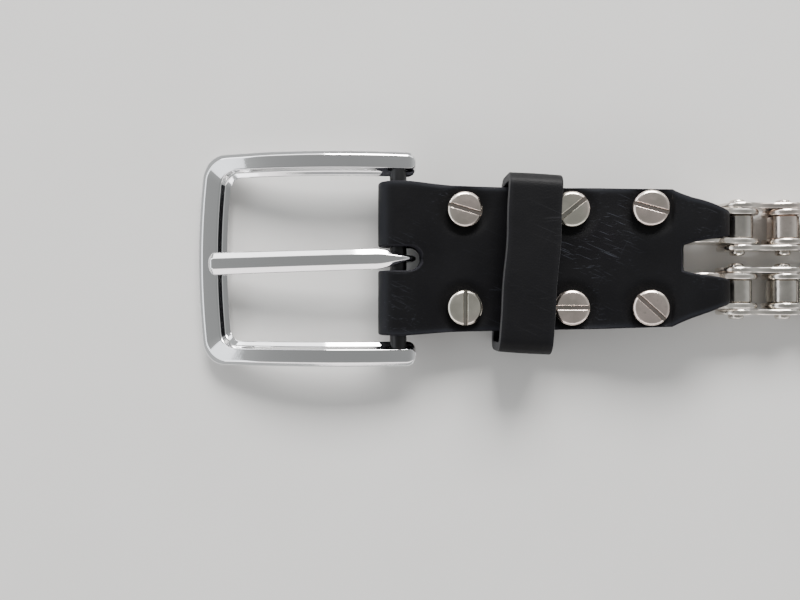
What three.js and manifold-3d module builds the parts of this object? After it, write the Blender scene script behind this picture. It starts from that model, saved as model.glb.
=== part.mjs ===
// Chain belt, laid out flat and straight, face up.
// Millimetres. +X runs along the belt from the buckle to the tail, +Z is up.
// In the model's own frame X = 0 is the heel bar's axis and Y = 0 the belt's centre line.

import * as THREE from 'three';
import { mergeVertices } from 'three/addons/utils/BufferGeometryUtils.js';
import Module from 'manifold-3d';

const wasm = await Module();
wasm.setup();

const GAP = 0.3;

// Leather
const LEATHER = 2.8;
const LAYER_OFFSET = (LEATHER + GAP) / 2;

// Buckle frame
const HEEL_BAR_RADIUS = 2.25;
const HEEL_BAR_HEIGHT = 8;
const FRAME_THICKNESS = 4.5;
const FRAME_BEVEL = 1.2;
const TOE_OUTER_X = -54.6;
const TOE_WIDTH = 8;
const ARM_END_X = 4.8;
const ARM_OUTER_Y = 28.5;
const ARM_INNER_Y = 21.9;
const OUTER_CORNER = 6;
const INNER_CORNER = 3;
const ARM_END_CORNER = 2.4;
const TOE_MID_X = TOE_OUTER_X + TOE_WIDTH / 2;
const TOE_MID_HEIGHT = 3.35;
const ARCH_RISE = 3.2;
const ARM_STEPS = 8;

// Prong
const PRONG_TIP_X = -50.7;
const PRONG_HALF_WIDTH_TIP = 3.0;
const PRONG_HALF_WIDTH_HEEL = 2.7;
const PRONG_THICKNESS = 2.7;
const PRONG_EYE_RADIUS = 4.7;
const PRONG_REST_HEIGHT = 5.0;
const PRONG_BEVEL = 0.7;
const PRONG_STEP = 9;
// The prong has play on the bar: it lies a little turned in plan, counted from +X towards +Y
const PRONG_TURN = 1.4;
const SADDLE_Y = -1.2;
const SADDLE_HALF_WIDTH = 4.2;
const SADDLE_CUT_TOP = 20;
// Where the prong's bar leaves its eye, in degrees round the heel bar
const PRONG_EYE = { barEnds: 150, under: 172, over: 450, steps: 16 };

// How far a layer of the fold takes to come down from the heel bar to the other layer
const FOLD_SETTLES_X = 13;

// Front strap
const FOLD_CORNER = 2;
const FOLD_SLOT_HALF_WIDTH = 3.15;
const FOLD_SLOT_END_X = 6;
const FRONT_FOLD_LAYER_END_X = 52.5;
const FRONT_TAB_LAYER_END_X = 60;
const FRONT_MEET_X = 70.6;
const FRONT_HALF_WIDTHS = [
  { x: -5.4, half: 20.2 },
  { x: 2, half: 20.2 },
  { x: 14, half: 19.4 },
  { x: 53, half: 18.6 },
  { x: 71.5, half: 17.9 },
];
const FRONT_MID_HEIGHTS = [
  { x: 0, z: HEEL_BAR_HEIGHT },
  { x: 8, z: 7.7 },
  { x: 17, z: 6.9 },
  { x: 26, z: 6.1 },
  { x: 34, z: 5.8 },
  { x: 46, z: 7.1 },
  { x: 56, z: 8.2 },
  { x: 66, z: 9.6 },
  { x: FRONT_MEET_X, z: 10.3 },
];

// The two strands lie at +STRAND_Y and -STRAND_Y
const STRAND_Y = 8.55;

// Tabs round the end rollers
const TAB_HALF_WIDTH = 2.9;
const TAB_TANGENT_DEGREES = 125;
// Distances past the roller's axis, away from the strap, and from the belt's centre line
const TAB_OUTER_EDGE = [
  { past: -4, half: 15.6 },
  { past: 2, half: 12.9 },
  { past: 5, half: STRAND_Y + TAB_HALF_WIDTH + 0.5 },
  { past: 5.8, half: STRAND_Y + TAB_HALF_WIDTH },
];
const TAB_INNER_EDGE = [
  { past: 5, half: STRAND_Y - TAB_HALF_WIDTH },
  { past: 1.5, half: 4.95 },
  { past: -1, half: 4.5 },
  { past: -4, half: 3.9 },
  { past: -5.6, half: 3.3 },
  { past: -5.8, half: 2.6 },
];
const TAB_SHOULDER_PAST = -8;

// Chain: 12.7 mm pitch, each strand an odd number of links so that both ends are roller links
const PITCH = 12.7;
const LINKS = 49;
const ROLLER_RADIUS = 3.89;
const PLATE_RADIUS = 5.2;
const PLATE_WAIST = 3.9;
const INNER_PLATE = { from: 3.2, to: 4.6 };
const OUTER_PLATE = { from: 4.9, to: 6.3 };
const PIN_RADIUS = 1.8;
const PIN_HALF_LENGTH = 7.5;
const BORE_RADIUS = 2.45;
const FIRST_PIN_X = 79.5;
const FLAT_PIN_HEIGHT = 5.3;
const LAST_PIN_HEIGHT = 7.3;
const STRANDS = [
  { name: 'strand_a', y: STRAND_Y, heights: [10.5, 6.0] },
  { name: 'strand_b', y: -STRAND_Y, heights: [10.5, 5.6] },
];
// Links on their own at both ends and at the joins, the others in straight runs
const RUNS = [
  { from: 6, to: 14 },
  { from: 16, to: 24 },
  { from: 26, to: 34 },
  { from: 36, to: 44 },
];

// Tail strap, measured from the last roller
const TAIL_LENGTH = 200;
const TAIL_HALF_WIDTH = 18.5;
const TAIL_MEET = 9.5;
const TAIL_DOUBLED_END = 47;
const TAIL_FLAT_FROM = 68;
const TAIL_TIP_RADIUS = 7;
const TAIL_TIP_ARC_DEGREES = 58;
// The side's run in to the tip, by distance before the tip
const TAIL_TIP_EDGE = [
  { before: 21, half: 17.1 },
  { before: 26, half: TAIL_HALF_WIDTH },
];
const TAIL_HOLES = { radius: 3.25, first: 75, spacing: 25, count: 5 };
const TAIL_MID_HEIGHTS = [
  { x: TAIL_MEET, z: 6.5 },
  { x: 16, z: 5.6 },
  { x: 26, z: 4.6 },
  { x: 38, z: 4.5 },
  { x: TAIL_DOUBLED_END, z: 4.5 },
];
const TAIL_SINGLE_HEIGHTS = [
  { x: TAIL_DOUBLED_END, z: 4.5 + LAYER_OFFSET },
  { x: 51, z: 5.2 },
  { x: 60, z: 1.9 },
  { x: 66, z: LEATHER / 2 },
  { x: TAIL_LENGTH, z: LEATHER / 2 },
];

// Screw fasteners; the slot's turn is counted from +X towards +Y
const SCREW_Y = 12.9;
const HEAD = { radius: 4.65, height: 1.8, edge: 0.5, slotWidth: 0.95, slotDepth: 0.9 };
const SHANK_RADIUS = 1.3;
const POST = { radius: 2.2, bore: 1.7, boreFloor: 0.5, headRadius: 3.9, headHeight: 1.1 };
const SCREW_HOLE_RADIUS = 2.6;
const FRONT_SCREWS = [
  { x: 17.2, side: 1, slot: -16 },
  { x: 17.2, side: -1, slot: 90 },
  { x: 46, side: 1, slot: 39 },
  { x: 46, side: -1, slot: 0 },
  { x: 66, side: 1, slot: -17 },
  { x: 66, side: -1, slot: -43 },
];
const TAIL_SCREWS = [
  { x: 18, side: 1, slot: 25 },
  { x: 18, side: -1, slot: -60 },
  { x: 38, side: 1, slot: 70 },
  { x: 38, side: -1, slot: 10 },
];

// Keeper loop
const KEEPER = {
  x: 34.2, y: -1.4, width: 13.7, length: 46.9, height: 16.4, wall: 2.4, corner: 4, turn: 3.4,
};

// Facets: sides of round pieces, steps of arcs and the length of a step along the leather
const ROUND_SIDES = 12;
const SCREW_SIDES = 10;
const ROLLER_SIDES = 8;
const PIN_SIDES = 6;
const LOBE_STEPS = 4;
const CORNER_STEPS = 5;
const SMALL_CORNER_STEPS = 3;
const FOLD_STEPS = 12;
const WRAP_STEPS = 15;
const RISE_STEPS = 5;
const LEATHER_STEP = 4.6;
const SLIDE_STEP = 2.5;
const CURVE_SAMPLES = 12;

// How far cutting and meeting solids reach past what they cut or meet
const EXTRA = 1;
const SUNK = 0.2;
const SHEET_HALF_SPAN = 24;
const PLAN_LOW = -2;
const PLAN_HIGH = 24;
const SCREW_HOLE_HALF_LENGTH = 8;
const MERGE_DISTANCE = 1e-4;
// Over this run the slope of a strap is taken
const SLOPE_RUN = 2;

function standard(color, roughness, metalness) {
  return new THREE.MeshStandardMaterial({ color, roughness, metalness });
}

function toSolid(geometry) {
  const bare = geometry.clone();
  bare.deleteAttribute('normal');
  bare.deleteAttribute('uv');
  const merged = mergeVertices(bare, MERGE_DISTANCE);
  const mesh = new wasm.Mesh({
    numProp: 3,
    vertProperties: new Float32Array(merged.attributes.position.array),
    triVerts: new Uint32Array(merged.index.array),
  });
  mesh.merge();
  return new wasm.Manifold(mesh);
}

function toGeometry(solid) {
  const mesh = solid.getMesh();
  const geometry = new THREE.BufferGeometry();
  geometry.setAttribute('position', new THREE.BufferAttribute(mesh.vertProperties.slice(), 3));
  geometry.setIndex(new THREE.BufferAttribute(mesh.triVerts.slice(), 1));
  return geometry;
}

function joined(solids) {
  return solids.reduce((whole, solid) => whole.add(solid));
}

function without(solid, cutters) {
  return cutters.reduce((rest, cutter) => rest.subtract(cutter), solid);
}

// A side view outline (x, z) given a width along Y, from yLow to yHigh
function alongY(shape, yLow, yHigh, bevel = 0) {
  const geometry = new THREE.ExtrudeGeometry(shape, {
    depth: yHigh - yLow - 2 * bevel,
    steps: 1,
    curveSegments: CORNER_STEPS,
    bevelEnabled: bevel > 0,
    bevelSize: bevel,
    bevelThickness: bevel,
    bevelOffset: -bevel,
    bevelSegments: 1,
  });
  geometry.rotateX(Math.PI / 2);
  geometry.translate(0, yHigh - bevel, 0);
  return geometry;
}

// A plan outline (x, y) given a height, from zLow to zHigh
function alongZ(shape, zLow, zHigh) {
  const geometry = new THREE.ExtrudeGeometry(shape, {
    depth: zHigh - zLow,
    steps: 1,
    bevelEnabled: false,
  });
  geometry.translate(0, 0, zLow);
  return geometry;
}

function cylinderAlongY(radius, yLow, yHigh, sides) {
  const geometry = new THREE.CylinderGeometry(radius, radius, yHigh - yLow, sides);
  geometry.translate(0, (yLow + yHigh) / 2, 0);
  return geometry;
}

function cylinderAlongZ(radius, zLow, zHigh, sides) {
  const geometry = new THREE.CylinderGeometry(radius, radius, zHigh - zLow, sides);
  geometry.rotateX(Math.PI / 2);
  geometry.translate(0, 0, (zLow + zHigh) / 2);
  return geometry;
}

function shapeFrom(points) {
  return new THREE.Shape(points.map((p) => new THREE.Vector2(p.x, p.y)));
}

// A smooth curve through a short table of { x, z } rows
function heightCurve(rows) {
  const curve = new THREE.CatmullRomCurve3(
    rows.map((row) => new THREE.Vector3(row.x, 0, row.z)), false, 'centripetal');
  const samples = curve.getPoints(rows.length * CURVE_SAMPLES);
  return (x) => {
    const next = samples.findIndex((p) => p.x >= x);
    if (next === 0) return samples[0].z;
    if (next < 0) return samples[samples.length - 1].z;
    const a = samples[next - 1];
    const b = samples[next];
    return a.z + ((b.z - a.z) * (x - a.x)) / (b.x - a.x);
  };
}

function steppedThrough(from, to, step) {
  const count = Math.max(1, Math.round(Math.abs(to - from) / step));
  return Array.from({ length: count + 1 }, (_, i) => from + ((to - from) * i) / count);
}

function arcPoints(centre, radius, fromDegrees, toDegrees, count) {
  return Array.from({ length: count + 1 }, (_, i) => {
    const angle = THREE.MathUtils.degToRad(fromDegrees + ((toDegrees - fromDegrees) * i) / count);
    return new THREE.Vector2(
      centre.x + radius * Math.cos(angle), centre.y + radius * Math.sin(angle));
  });
}

// The cut edge of a leather sheet seen from the side: its middle line with a wall on both sides
function sheetOutline(line, thickness) {
  const left = [];
  const right = [];
  line.forEach((p, i) => {
    const before = line[Math.max(0, i - 1)];
    const after = line[Math.min(line.length - 1, i + 1)];
    const normal = new THREE.Vector2(-(after.y - before.y), after.x - before.x).normalize();
    left.push(p.clone().addScaledVector(normal, thickness / 2));
    right.push(p.clone().addScaledVector(normal, -thickness / 2));
  });
  return shapeFrom([...right, ...left.reverse()]);
}

// A smooth step from a to b as t goes from 0 to 1
function eased(a, b, t) {
  const s = Math.min(1, Math.max(0, t));
  return a + (b - a) * s * s * (3 - 2 * s);
}

// A curve that leaves p with direction d and reaches q with direction e
function blendPoints(p, d, q, e, count) {
  const reach = p.distanceTo(q) / 3;
  const curve = new THREE.CubicBezierCurve(
    p, p.clone().addScaledVector(d, reach), q.clone().addScaledVector(e, -reach), q);
  return curve.getPoints(count);
}

const frontMid = heightCurve(FRONT_MID_HEIGHTS);
const tailMid = heightCurve(TAIL_MID_HEIGHTS);
const FOLD_LINE_RADIUS = HEEL_BAR_RADIUS + GAP + LEATHER / 2;
const WRAP_LINE_RADIUS = ROLLER_RADIUS + GAP + LEATHER / 2;

// How far each layer's middle line lies from the strap's middle, from the fold to the flat stretch
function foldOffset(x) {
  return eased(FOLD_LINE_RADIUS, LAYER_OFFSET, x / FOLD_SETTLES_X);
}

// The wrap round a roller: from a layer on the upper side, round it, to a layer on the lower side.
// outward is +1 where the roller lies at the leather's +X end and -1 where it lies at its -X end.
function wrapLine(pin, meet, outward) {
  const tangent = TAB_TANGENT_DEGREES;
  const turned = (p) => new THREE.Vector2(pin.x + outward * (p.x - pin.x), p.y);
  const arc = arcPoints(pin, WRAP_LINE_RADIUS, tangent, -tangent, WRAP_STEPS).map(turned);
  const slope = new THREE.Vector2(outward * meet.run, meet.rise).normalize();
  const up = THREE.MathUtils.degToRad(tangent - 90);
  const rising = new THREE.Vector2(outward * Math.cos(up), Math.sin(up));
  const top = new THREE.Vector2(meet.x, meet.z + LAYER_OFFSET);
  const bottom = new THREE.Vector2(meet.x, meet.z - LAYER_OFFSET);
  const falling = new THREE.Vector2(-outward * Math.cos(up), Math.sin(up));
  const upper = blendPoints(top, slope, arc[0], rising, RISE_STEPS);
  const lower = blendPoints(
    arc[arc.length - 1], falling, bottom, slope.clone().negate(), RISE_STEPS);
  return [...upper, ...arc.slice(1, -1), ...lower];
}

function frontSheetLine(pin) {
  const heel = new THREE.Vector2(0, HEEL_BAR_HEIGHT);
  const under = steppedThrough(FRONT_FOLD_LAYER_END_X, 0, LEATHER_STEP)
    .map((x) => new THREE.Vector2(x, frontMid(x) - foldOffset(x)));
  const fold = arcPoints(heel, FOLD_LINE_RADIUS, 270, 90, FOLD_STEPS);
  const over = steppedThrough(0, FRONT_MEET_X, LEATHER_STEP)
    .map((x) => new THREE.Vector2(x, frontMid(x) + foldOffset(x)));
  const rise = frontMid(FRONT_MEET_X) - frontMid(FRONT_MEET_X - SLOPE_RUN);
  const meet = { x: FRONT_MEET_X, z: frontMid(FRONT_MEET_X), run: SLOPE_RUN, rise };
  const wrap = wrapLine(pin, meet, 1);
  const back = steppedThrough(FRONT_MEET_X, FRONT_TAB_LAYER_END_X, LEATHER_STEP)
    .map((x) => new THREE.Vector2(x, frontMid(x) - LAYER_OFFSET));
  return [...under, ...fold.slice(1, -1), ...over, ...wrap.slice(1, -1), ...back];
}

// The tab end of a plan outline, for the half at +Y: from the full width in to the tab, round the
// tab and back along the notch to the centre line. Distances run towards the roller.
function tabEndHalf(pinX, outward, fullHalf) {
  const at = (distance, y) => new THREE.Vector2(pinX + outward * distance, y);
  const reach = WRAP_LINE_RADIUS + LEATHER / 2 + EXTRA;
  return [
    at(TAB_SHOULDER_PAST, fullHalf),
    ...TAB_OUTER_EDGE.map((row) => at(row.past, row.half)),
    at(reach, STRAND_Y + TAB_HALF_WIDTH),
    at(reach, STRAND_Y - TAB_HALF_WIDTH),
    ...TAB_INNER_EDGE.map((row) => at(row.past, row.half)),
  ];
}

function frontOutline(pinX) {
  const slotCentre = new THREE.Vector2(FOLD_SLOT_END_X - FOLD_SLOT_HALF_WIDTH, 0);
  const slotEnd = arcPoints(slotCentre, FOLD_SLOT_HALF_WIDTH, 0, 90, CORNER_STEPS).slice(1);
  const left = FRONT_HALF_WIDTHS[0].x - EXTRA;
  const cornerCentre = new THREE.Vector2(
    -FOLD_LINE_RADIUS - LEATHER / 2 + FOLD_CORNER, FRONT_HALF_WIDTHS[0].half - FOLD_CORNER);
  const side = FRONT_HALF_WIDTHS.slice(1, -1).map((row) => new THREE.Vector2(row.x, row.half));
  const half = [
    ...slotEnd,
    new THREE.Vector2(left, FOLD_SLOT_HALF_WIDTH),
    new THREE.Vector2(left, cornerCentre.y),
    ...arcPoints(cornerCentre, FOLD_CORNER, 180, 90, SMALL_CORNER_STEPS),
    ...side,
    ...tabEndHalf(pinX, 1, FRONT_HALF_WIDTHS[FRONT_HALF_WIDTHS.length - 1].half),
  ];
  const other = half.slice().reverse().map((p) => new THREE.Vector2(p.x, -p.y));
  return shapeFrom([...half, ...other]);
}

function placed(geometry, matrix) {
  const copy = geometry.clone();
  copy.applyMatrix4(matrix);
  return copy;
}

// Where a link lies: from one pin to the next, turned about Y
function linkMatrix(from, to, y) {
  const angle = -Math.atan2(to.y - from.y, to.x - from.x);
  return new THREE.Matrix4()
    .makeTranslation(from.x, y, from.y)
    .multiply(new THREE.Matrix4().makeRotationY(angle));
}

// The pins of one strand in the side view
function pinPositions(strand) {
  const pins = [new THREE.Vector2(FIRST_PIN_X, strand.heights[0])];
  for (let i = 1; i <= LINKS; i += 1) {
    const flat = i === LINKS ? LAST_PIN_HEIGHT : FLAT_PIN_HEIGHT;
    const height = strand.heights[i] ?? flat;
    const last = pins[i - 1];
    const run = Math.sqrt(PITCH ** 2 - (height - last.y) ** 2);
    pins.push(new THREE.Vector2(last.x + run, height));
  }
  return pins;
}

// A plate's outline between two pins: a round lobe at each and a narrower waist
function plateShape(radius, waist) {
  const right = arcPoints(new THREE.Vector2(PITCH, 0), radius, -90, 90, LOBE_STEPS);
  const left = arcPoints(new THREE.Vector2(0, 0), radius, 90, 270, LOBE_STEPS);
  const middle = new THREE.Vector2(PITCH / 2, waist);
  const under = new THREE.Vector2(PITCH / 2, -waist);
  return shapeFrom([...right, middle, ...left, under]);
}

function platePair(range, shape) {
  return [
    toSolid(alongY(shape, range.from, range.to)),
    toSolid(alongY(shape, -range.to, -range.from)),
  ];
}

function atEachPin(geometry) {
  return [0, PITCH].map((x) => {
    const copy = geometry.clone();
    copy.translate(x, 0, 0);
    return toSolid(copy);
  });
}

function innerLinkGeometry() {
  const shape = plateShape(PLATE_RADIUS, PLATE_WAIST);
  const roller = cylinderAlongY(
    ROLLER_RADIUS, -INNER_PLATE.from - SUNK, INNER_PLATE.from + SUNK, ROLLER_SIDES);
  const bore = cylinderAlongY(
    BORE_RADIUS, -INNER_PLATE.to - EXTRA, INNER_PLATE.to + EXTRA, PIN_SIDES);
  const body = joined([...platePair(INNER_PLATE, shape), ...atEachPin(roller)]);
  return toGeometry(without(body, atEachPin(bore)));
}

function outerLinkGeometry() {
  const shape = plateShape(PLATE_RADIUS, PLATE_WAIST);
  const pin = cylinderAlongY(PIN_RADIUS, -PIN_HALF_LENGTH, PIN_HALF_LENGTH, PIN_SIDES);
  return toGeometry(joined([...platePair(OUTER_PLATE, shape), ...atEachPin(pin)]));
}

// A straight run of links as one body: plates that meet at their faces, rollers without bores
function runGeometry(count) {
  const shape = shapeFrom([
    ...arcPoints(new THREE.Vector2(PITCH, 0), PLATE_RADIUS, -90, 90, LOBE_STEPS / 2),
    ...arcPoints(new THREE.Vector2(0, 0), PLATE_RADIUS, 90, 270, LOBE_STEPS / 2),
  ]);
  const seam = (INNER_PLATE.to + OUTER_PLATE.from) / 2;
  const innerRange = { from: INNER_PLATE.from, to: seam + SUNK };
  const outerRange = { from: seam, to: OUTER_PLATE.to };
  const pieces = [];
  for (let i = 0; i < count; i += 1) {
    const outer = i % 2 === 0;
    const plates = platePair(outer ? outerRange : innerRange, shape);
    pieces.push(...plates.map((plate) => plate.translate([i * PITCH, 0, 0])));
  }
  for (let i = 0; i <= count; i += 1) {
    const end = i === 0 || i === count;
    const radius = end ? PIN_RADIUS : ROLLER_RADIUS;
    const half = (end ? outerRange.from : innerRange.from) + SUNK;
    const core = cylinderAlongY(radius, -half, half, PIN_SIDES);
    core.translate(i * PITCH, 0, 0);
    pieces.push(toSolid(core));
  }
  return toGeometry(joined(pieces));
}

const innerLink = innerLinkGeometry();
const outerLink = outerLinkGeometry();

function twoDigits(number) {
  return String(number).padStart(2, '0');
}

function strandMeshes(strand, pins) {
  const nickel = { inner: [0x9c948a, 0.3], outer: [0xaaa196, 0.28] };
  const meshes = [];
  const place = (geometry, name, first, last, look) => {
    const mesh = new THREE.Mesh(geometry, standard(look[0], look[1], 1));
    const from = pins[first - 1];
    const to = pins[last];
    mesh.name = name;
    mesh.position.set(from.x, strand.y, from.y);
    mesh.rotation.y = -Math.atan2(to.y - from.y, to.x - from.x);
    meshes.push(mesh);
  };
  let link = 1;
  while (link <= LINKS) {
    const run = RUNS.find((row) => row.from === link);
    if (run) {
      const name = `${strand.name}_links_${twoDigits(run.from)}_${twoDigits(run.to)}`;
      place(runGeometry(run.to - run.from + 1), name, run.from, run.to, nickel.outer);
      link = run.to + 1;
    } else {
      const inner = link % 2 === 1;
      const name = `${strand.name}_link_${twoDigits(link)}`;
      place(inner ? innerLink : outerLink, name, link, link, inner ? nickel.inner : nickel.outer);
      link += 1;
    }
  }
  return meshes;
}

// What the end link's plates press out of the leather that is wrapped round its roller
function plateCutters(pinsOfStrand, first, y) {
  const radius = PLATE_RADIUS + GAP;
  const right = arcPoints(new THREE.Vector2(PITCH, 0), radius, -90, 90, 2 * LOBE_STEPS);
  const left = arcPoints(new THREE.Vector2(0, 0), radius, 90, 270, 2 * LOBE_STEPS);
  const shape = shapeFrom([...right, ...left]);
  const from = INNER_PLATE.from - GAP;
  const to = INNER_PLATE.to + GAP;
  const matrix = linkMatrix(pinsOfStrand[first - 1], pinsOfStrand[first], y);
  return [
    toSolid(placed(alongY(shape, from, to), matrix)),
    toSolid(placed(alongY(shape, -to, -from), matrix)),
  ];
}

function screwSeat(screw, mid) {
  const slope = Math.atan2(
    mid(screw.x + SLOPE_RUN / 2) - mid(screw.x - SLOPE_RUN / 2), SLOPE_RUN);
  return { slope, z: mid(screw.x) };
}

function screwHoles(screws, mid, originX) {
  return screws.map((screw) => {
    const { slope, z } = screwSeat(screw, mid);
    const matrix = new THREE.Matrix4()
      .makeTranslation(originX + screw.x, screw.side * SCREW_Y, z)
      .multiply(new THREE.Matrix4().makeRotationY(-slope));
    const hole = cylinderAlongZ(
      SCREW_HOLE_RADIUS, -SCREW_HOLE_HALF_LENGTH, SCREW_HOLE_HALF_LENGTH, SCREW_SIDES);
    return toSolid(placed(hole, matrix));
  });
}

function frontStrapGeometry(strands) {
  const pin = strands[0].pins[0];
  const section = sheetOutline(frontSheetLine(pin), LEATHER);
  const profile = toSolid(alongY(section, -SHEET_HALF_SPAN, SHEET_HALF_SPAN));
  const plan = toSolid(alongZ(frontOutline(pin.x), PLAN_LOW, PLAN_HIGH));
  const cutters = strands.flatMap((strand) => plateCutters(strand.pins, 1, strand.y));
  const holes = screwHoles(FRONT_SCREWS, frontMid, 0);
  return toGeometry(without(profile.intersect(plan), [...cutters, ...holes]));
}

function tailSheetLine(pin) {
  const x0 = pin.x;
  const rise = tailMid(TAIL_MEET) - tailMid(TAIL_MEET + SLOPE_RUN);
  const meet = { x: x0 + TAIL_MEET, z: tailMid(TAIL_MEET), run: SLOPE_RUN, rise };
  const single = heightCurve(TAIL_SINGLE_HEIGHTS);
  const under = steppedThrough(TAIL_DOUBLED_END, TAIL_MEET, LEATHER_STEP)
    .map((x) => new THREE.Vector2(x0 + x, tailMid(x) - LAYER_OFFSET));
  const wrap = wrapLine(pin, meet, -1).reverse();
  const over = steppedThrough(TAIL_MEET, TAIL_DOUBLED_END, LEATHER_STEP)
    .map((x) => new THREE.Vector2(x0 + x, tailMid(x) + LAYER_OFFSET));
  const slide = steppedThrough(TAIL_DOUBLED_END, TAIL_FLAT_FROM, SLIDE_STEP)
    .map((x) => new THREE.Vector2(x0 + x, single(x)));
  const end = new THREE.Vector2(x0 + TAIL_LENGTH + EXTRA, LEATHER / 2);
  return [...under, ...wrap.slice(1, -1), ...over, ...slide.slice(1), end];
}

function tailOutline(pinX) {
  const tipCentre = new THREE.Vector2(pinX + TAIL_LENGTH - TAIL_TIP_RADIUS, 0);
  const tip = arcPoints(
    tipCentre, TAIL_TIP_RADIUS, 0, TAIL_TIP_ARC_DEGREES, SMALL_CORNER_STEPS).slice(1);
  const half = [
    ...tip,
    ...TAIL_TIP_EDGE.map((row) => new THREE.Vector2(pinX + TAIL_LENGTH - row.before, row.half)),
    ...tabEndHalf(pinX, -1, TAIL_HALF_WIDTH),
  ];
  const point = new THREE.Vector2(pinX + TAIL_LENGTH, 0);
  const other = half.slice().reverse().map((p) => new THREE.Vector2(p.x, -p.y));
  return shapeFrom([point, ...half, ...other]);
}

function tailStrapGeometry(strands) {
  const pin = strands[0].pins[LINKS];
  const section = sheetOutline(tailSheetLine(pin), LEATHER);
  const profile = toSolid(alongY(section, -SHEET_HALF_SPAN, SHEET_HALF_SPAN));
  const plan = toSolid(alongZ(tailOutline(pin.x), PLAN_LOW, PLAN_HIGH));
  const cutters = strands.flatMap((strand) => plateCutters(strand.pins, LINKS, strand.y));
  const holes = screwHoles(TAIL_SCREWS, tailMid, pin.x);
  for (let i = 0; i < TAIL_HOLES.count; i += 1) {
    const hole = cylinderAlongZ(TAIL_HOLES.radius, -EXTRA, LEATHER + EXTRA, ROUND_SIDES);
    hole.translate(pin.x + TAIL_HOLES.first + i * TAIL_HOLES.spacing, 0, 0);
    holes.push(toSolid(hole));
  }
  return toGeometry(without(profile.intersect(plan), [...cutters, ...holes]));
}

// Height of the frame's middle over x: an arc from the toe bar to the heel bar
function frameMidHeight(x) {
  const t = (x - TOE_MID_X) / -TOE_MID_X;
  return TOE_MID_HEIGHT + (HEEL_BAR_HEIGHT - TOE_MID_HEIGHT) * t + 4 * ARCH_RISE * t * (1 - t);
}

// One half of the frame's outline in plan, at +Y, from the toe's middle outside to inside
function frameHalfOutline() {
  const toeInnerX = TOE_OUTER_X + TOE_WIDTH;
  const outerCorner = new THREE.Vector2(TOE_OUTER_X + OUTER_CORNER, ARM_OUTER_Y - OUTER_CORNER);
  const innerCorner = new THREE.Vector2(toeInnerX + INNER_CORNER, ARM_INNER_Y - INNER_CORNER);
  const end = ARM_END_X - ARM_END_CORNER;
  const endOutside = new THREE.Vector2(end, ARM_OUTER_Y - ARM_END_CORNER);
  const endInside = new THREE.Vector2(end, ARM_INNER_Y + ARM_END_CORNER);
  const outerArm = steppedThrough(outerCorner.x, end, (end - outerCorner.x) / ARM_STEPS);
  const innerArm = steppedThrough(end, innerCorner.x, (end - innerCorner.x) / ARM_STEPS);
  return [
    new THREE.Vector2(TOE_OUTER_X, SADDLE_HALF_WIDTH),
    ...arcPoints(outerCorner, OUTER_CORNER, 180, 90, CORNER_STEPS),
    ...outerArm.slice(1, -1).map((x) => new THREE.Vector2(x, ARM_OUTER_Y)),
    ...arcPoints(endOutside, ARM_END_CORNER, 90, 0, SMALL_CORNER_STEPS),
    ...arcPoints(endInside, ARM_END_CORNER, 0, -90, SMALL_CORNER_STEPS),
    ...innerArm.slice(1, -1).map((x) => new THREE.Vector2(x, ARM_INNER_Y)),
    ...arcPoints(innerCorner, INNER_CORNER, 90, 180, SMALL_CORNER_STEPS),
    new THREE.Vector2(toeInnerX, SADDLE_HALF_WIDTH),
  ];
}

function prongLine(x) {
  const eyeTop = HEEL_BAR_HEIGHT + PRONG_EYE_RADIUS - PRONG_THICKNESS;
  const t = (x - TOE_MID_X) / -TOE_MID_X;
  return PRONG_REST_HEIGHT + (eyeTop - PRONG_REST_HEIGHT) * Math.sin((t * Math.PI) / 2);
}

function saddleCutter() {
  const shape = shapeFrom([
    { x: TOE_OUTER_X - EXTRA, y: prongLine(TOE_OUTER_X) - GAP },
    { x: TOE_OUTER_X + TOE_WIDTH + EXTRA, y: prongLine(TOE_OUTER_X + TOE_WIDTH) - GAP },
    { x: TOE_OUTER_X + TOE_WIDTH + EXTRA, y: SADDLE_CUT_TOP },
    { x: TOE_OUTER_X - EXTRA, y: SADDLE_CUT_TOP },
  ]);
  return toSolid(alongY(shape, SADDLE_Y - SADDLE_HALF_WIDTH, SADDLE_Y + SADDLE_HALF_WIDTH));
}

function buckleFrameGeometry() {
  const half = frameHalfOutline();
  const other = half.slice().reverse().map((p) => new THREE.Vector2(p.x, -p.y));
  const geometry = new THREE.ExtrudeGeometry(shapeFrom([...half, ...other]), {
    depth: FRAME_THICKNESS - 2 * FRAME_BEVEL,
    steps: 1,
    bevelEnabled: true,
    bevelSize: FRAME_BEVEL,
    bevelThickness: FRAME_BEVEL,
    bevelOffset: -FRAME_BEVEL,
    bevelSegments: 1,
  });
  geometry.translate(0, 0, FRAME_BEVEL - FRAME_THICKNESS / 2);
  const position = geometry.attributes.position;
  for (let i = 0; i < position.count; i += 1) {
    position.setZ(i, position.getZ(i) + frameMidHeight(position.getX(i)));
  }
  const reach = ARM_INNER_Y + 2 * EXTRA;
  const bar = cylinderAlongY(HEEL_BAR_RADIUS, -reach, reach, ROUND_SIDES);
  bar.translate(0, 0, HEEL_BAR_HEIGHT);
  return toGeometry(toSolid(geometry).add(toSolid(bar)).subtract(saddleCutter()));
}

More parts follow.
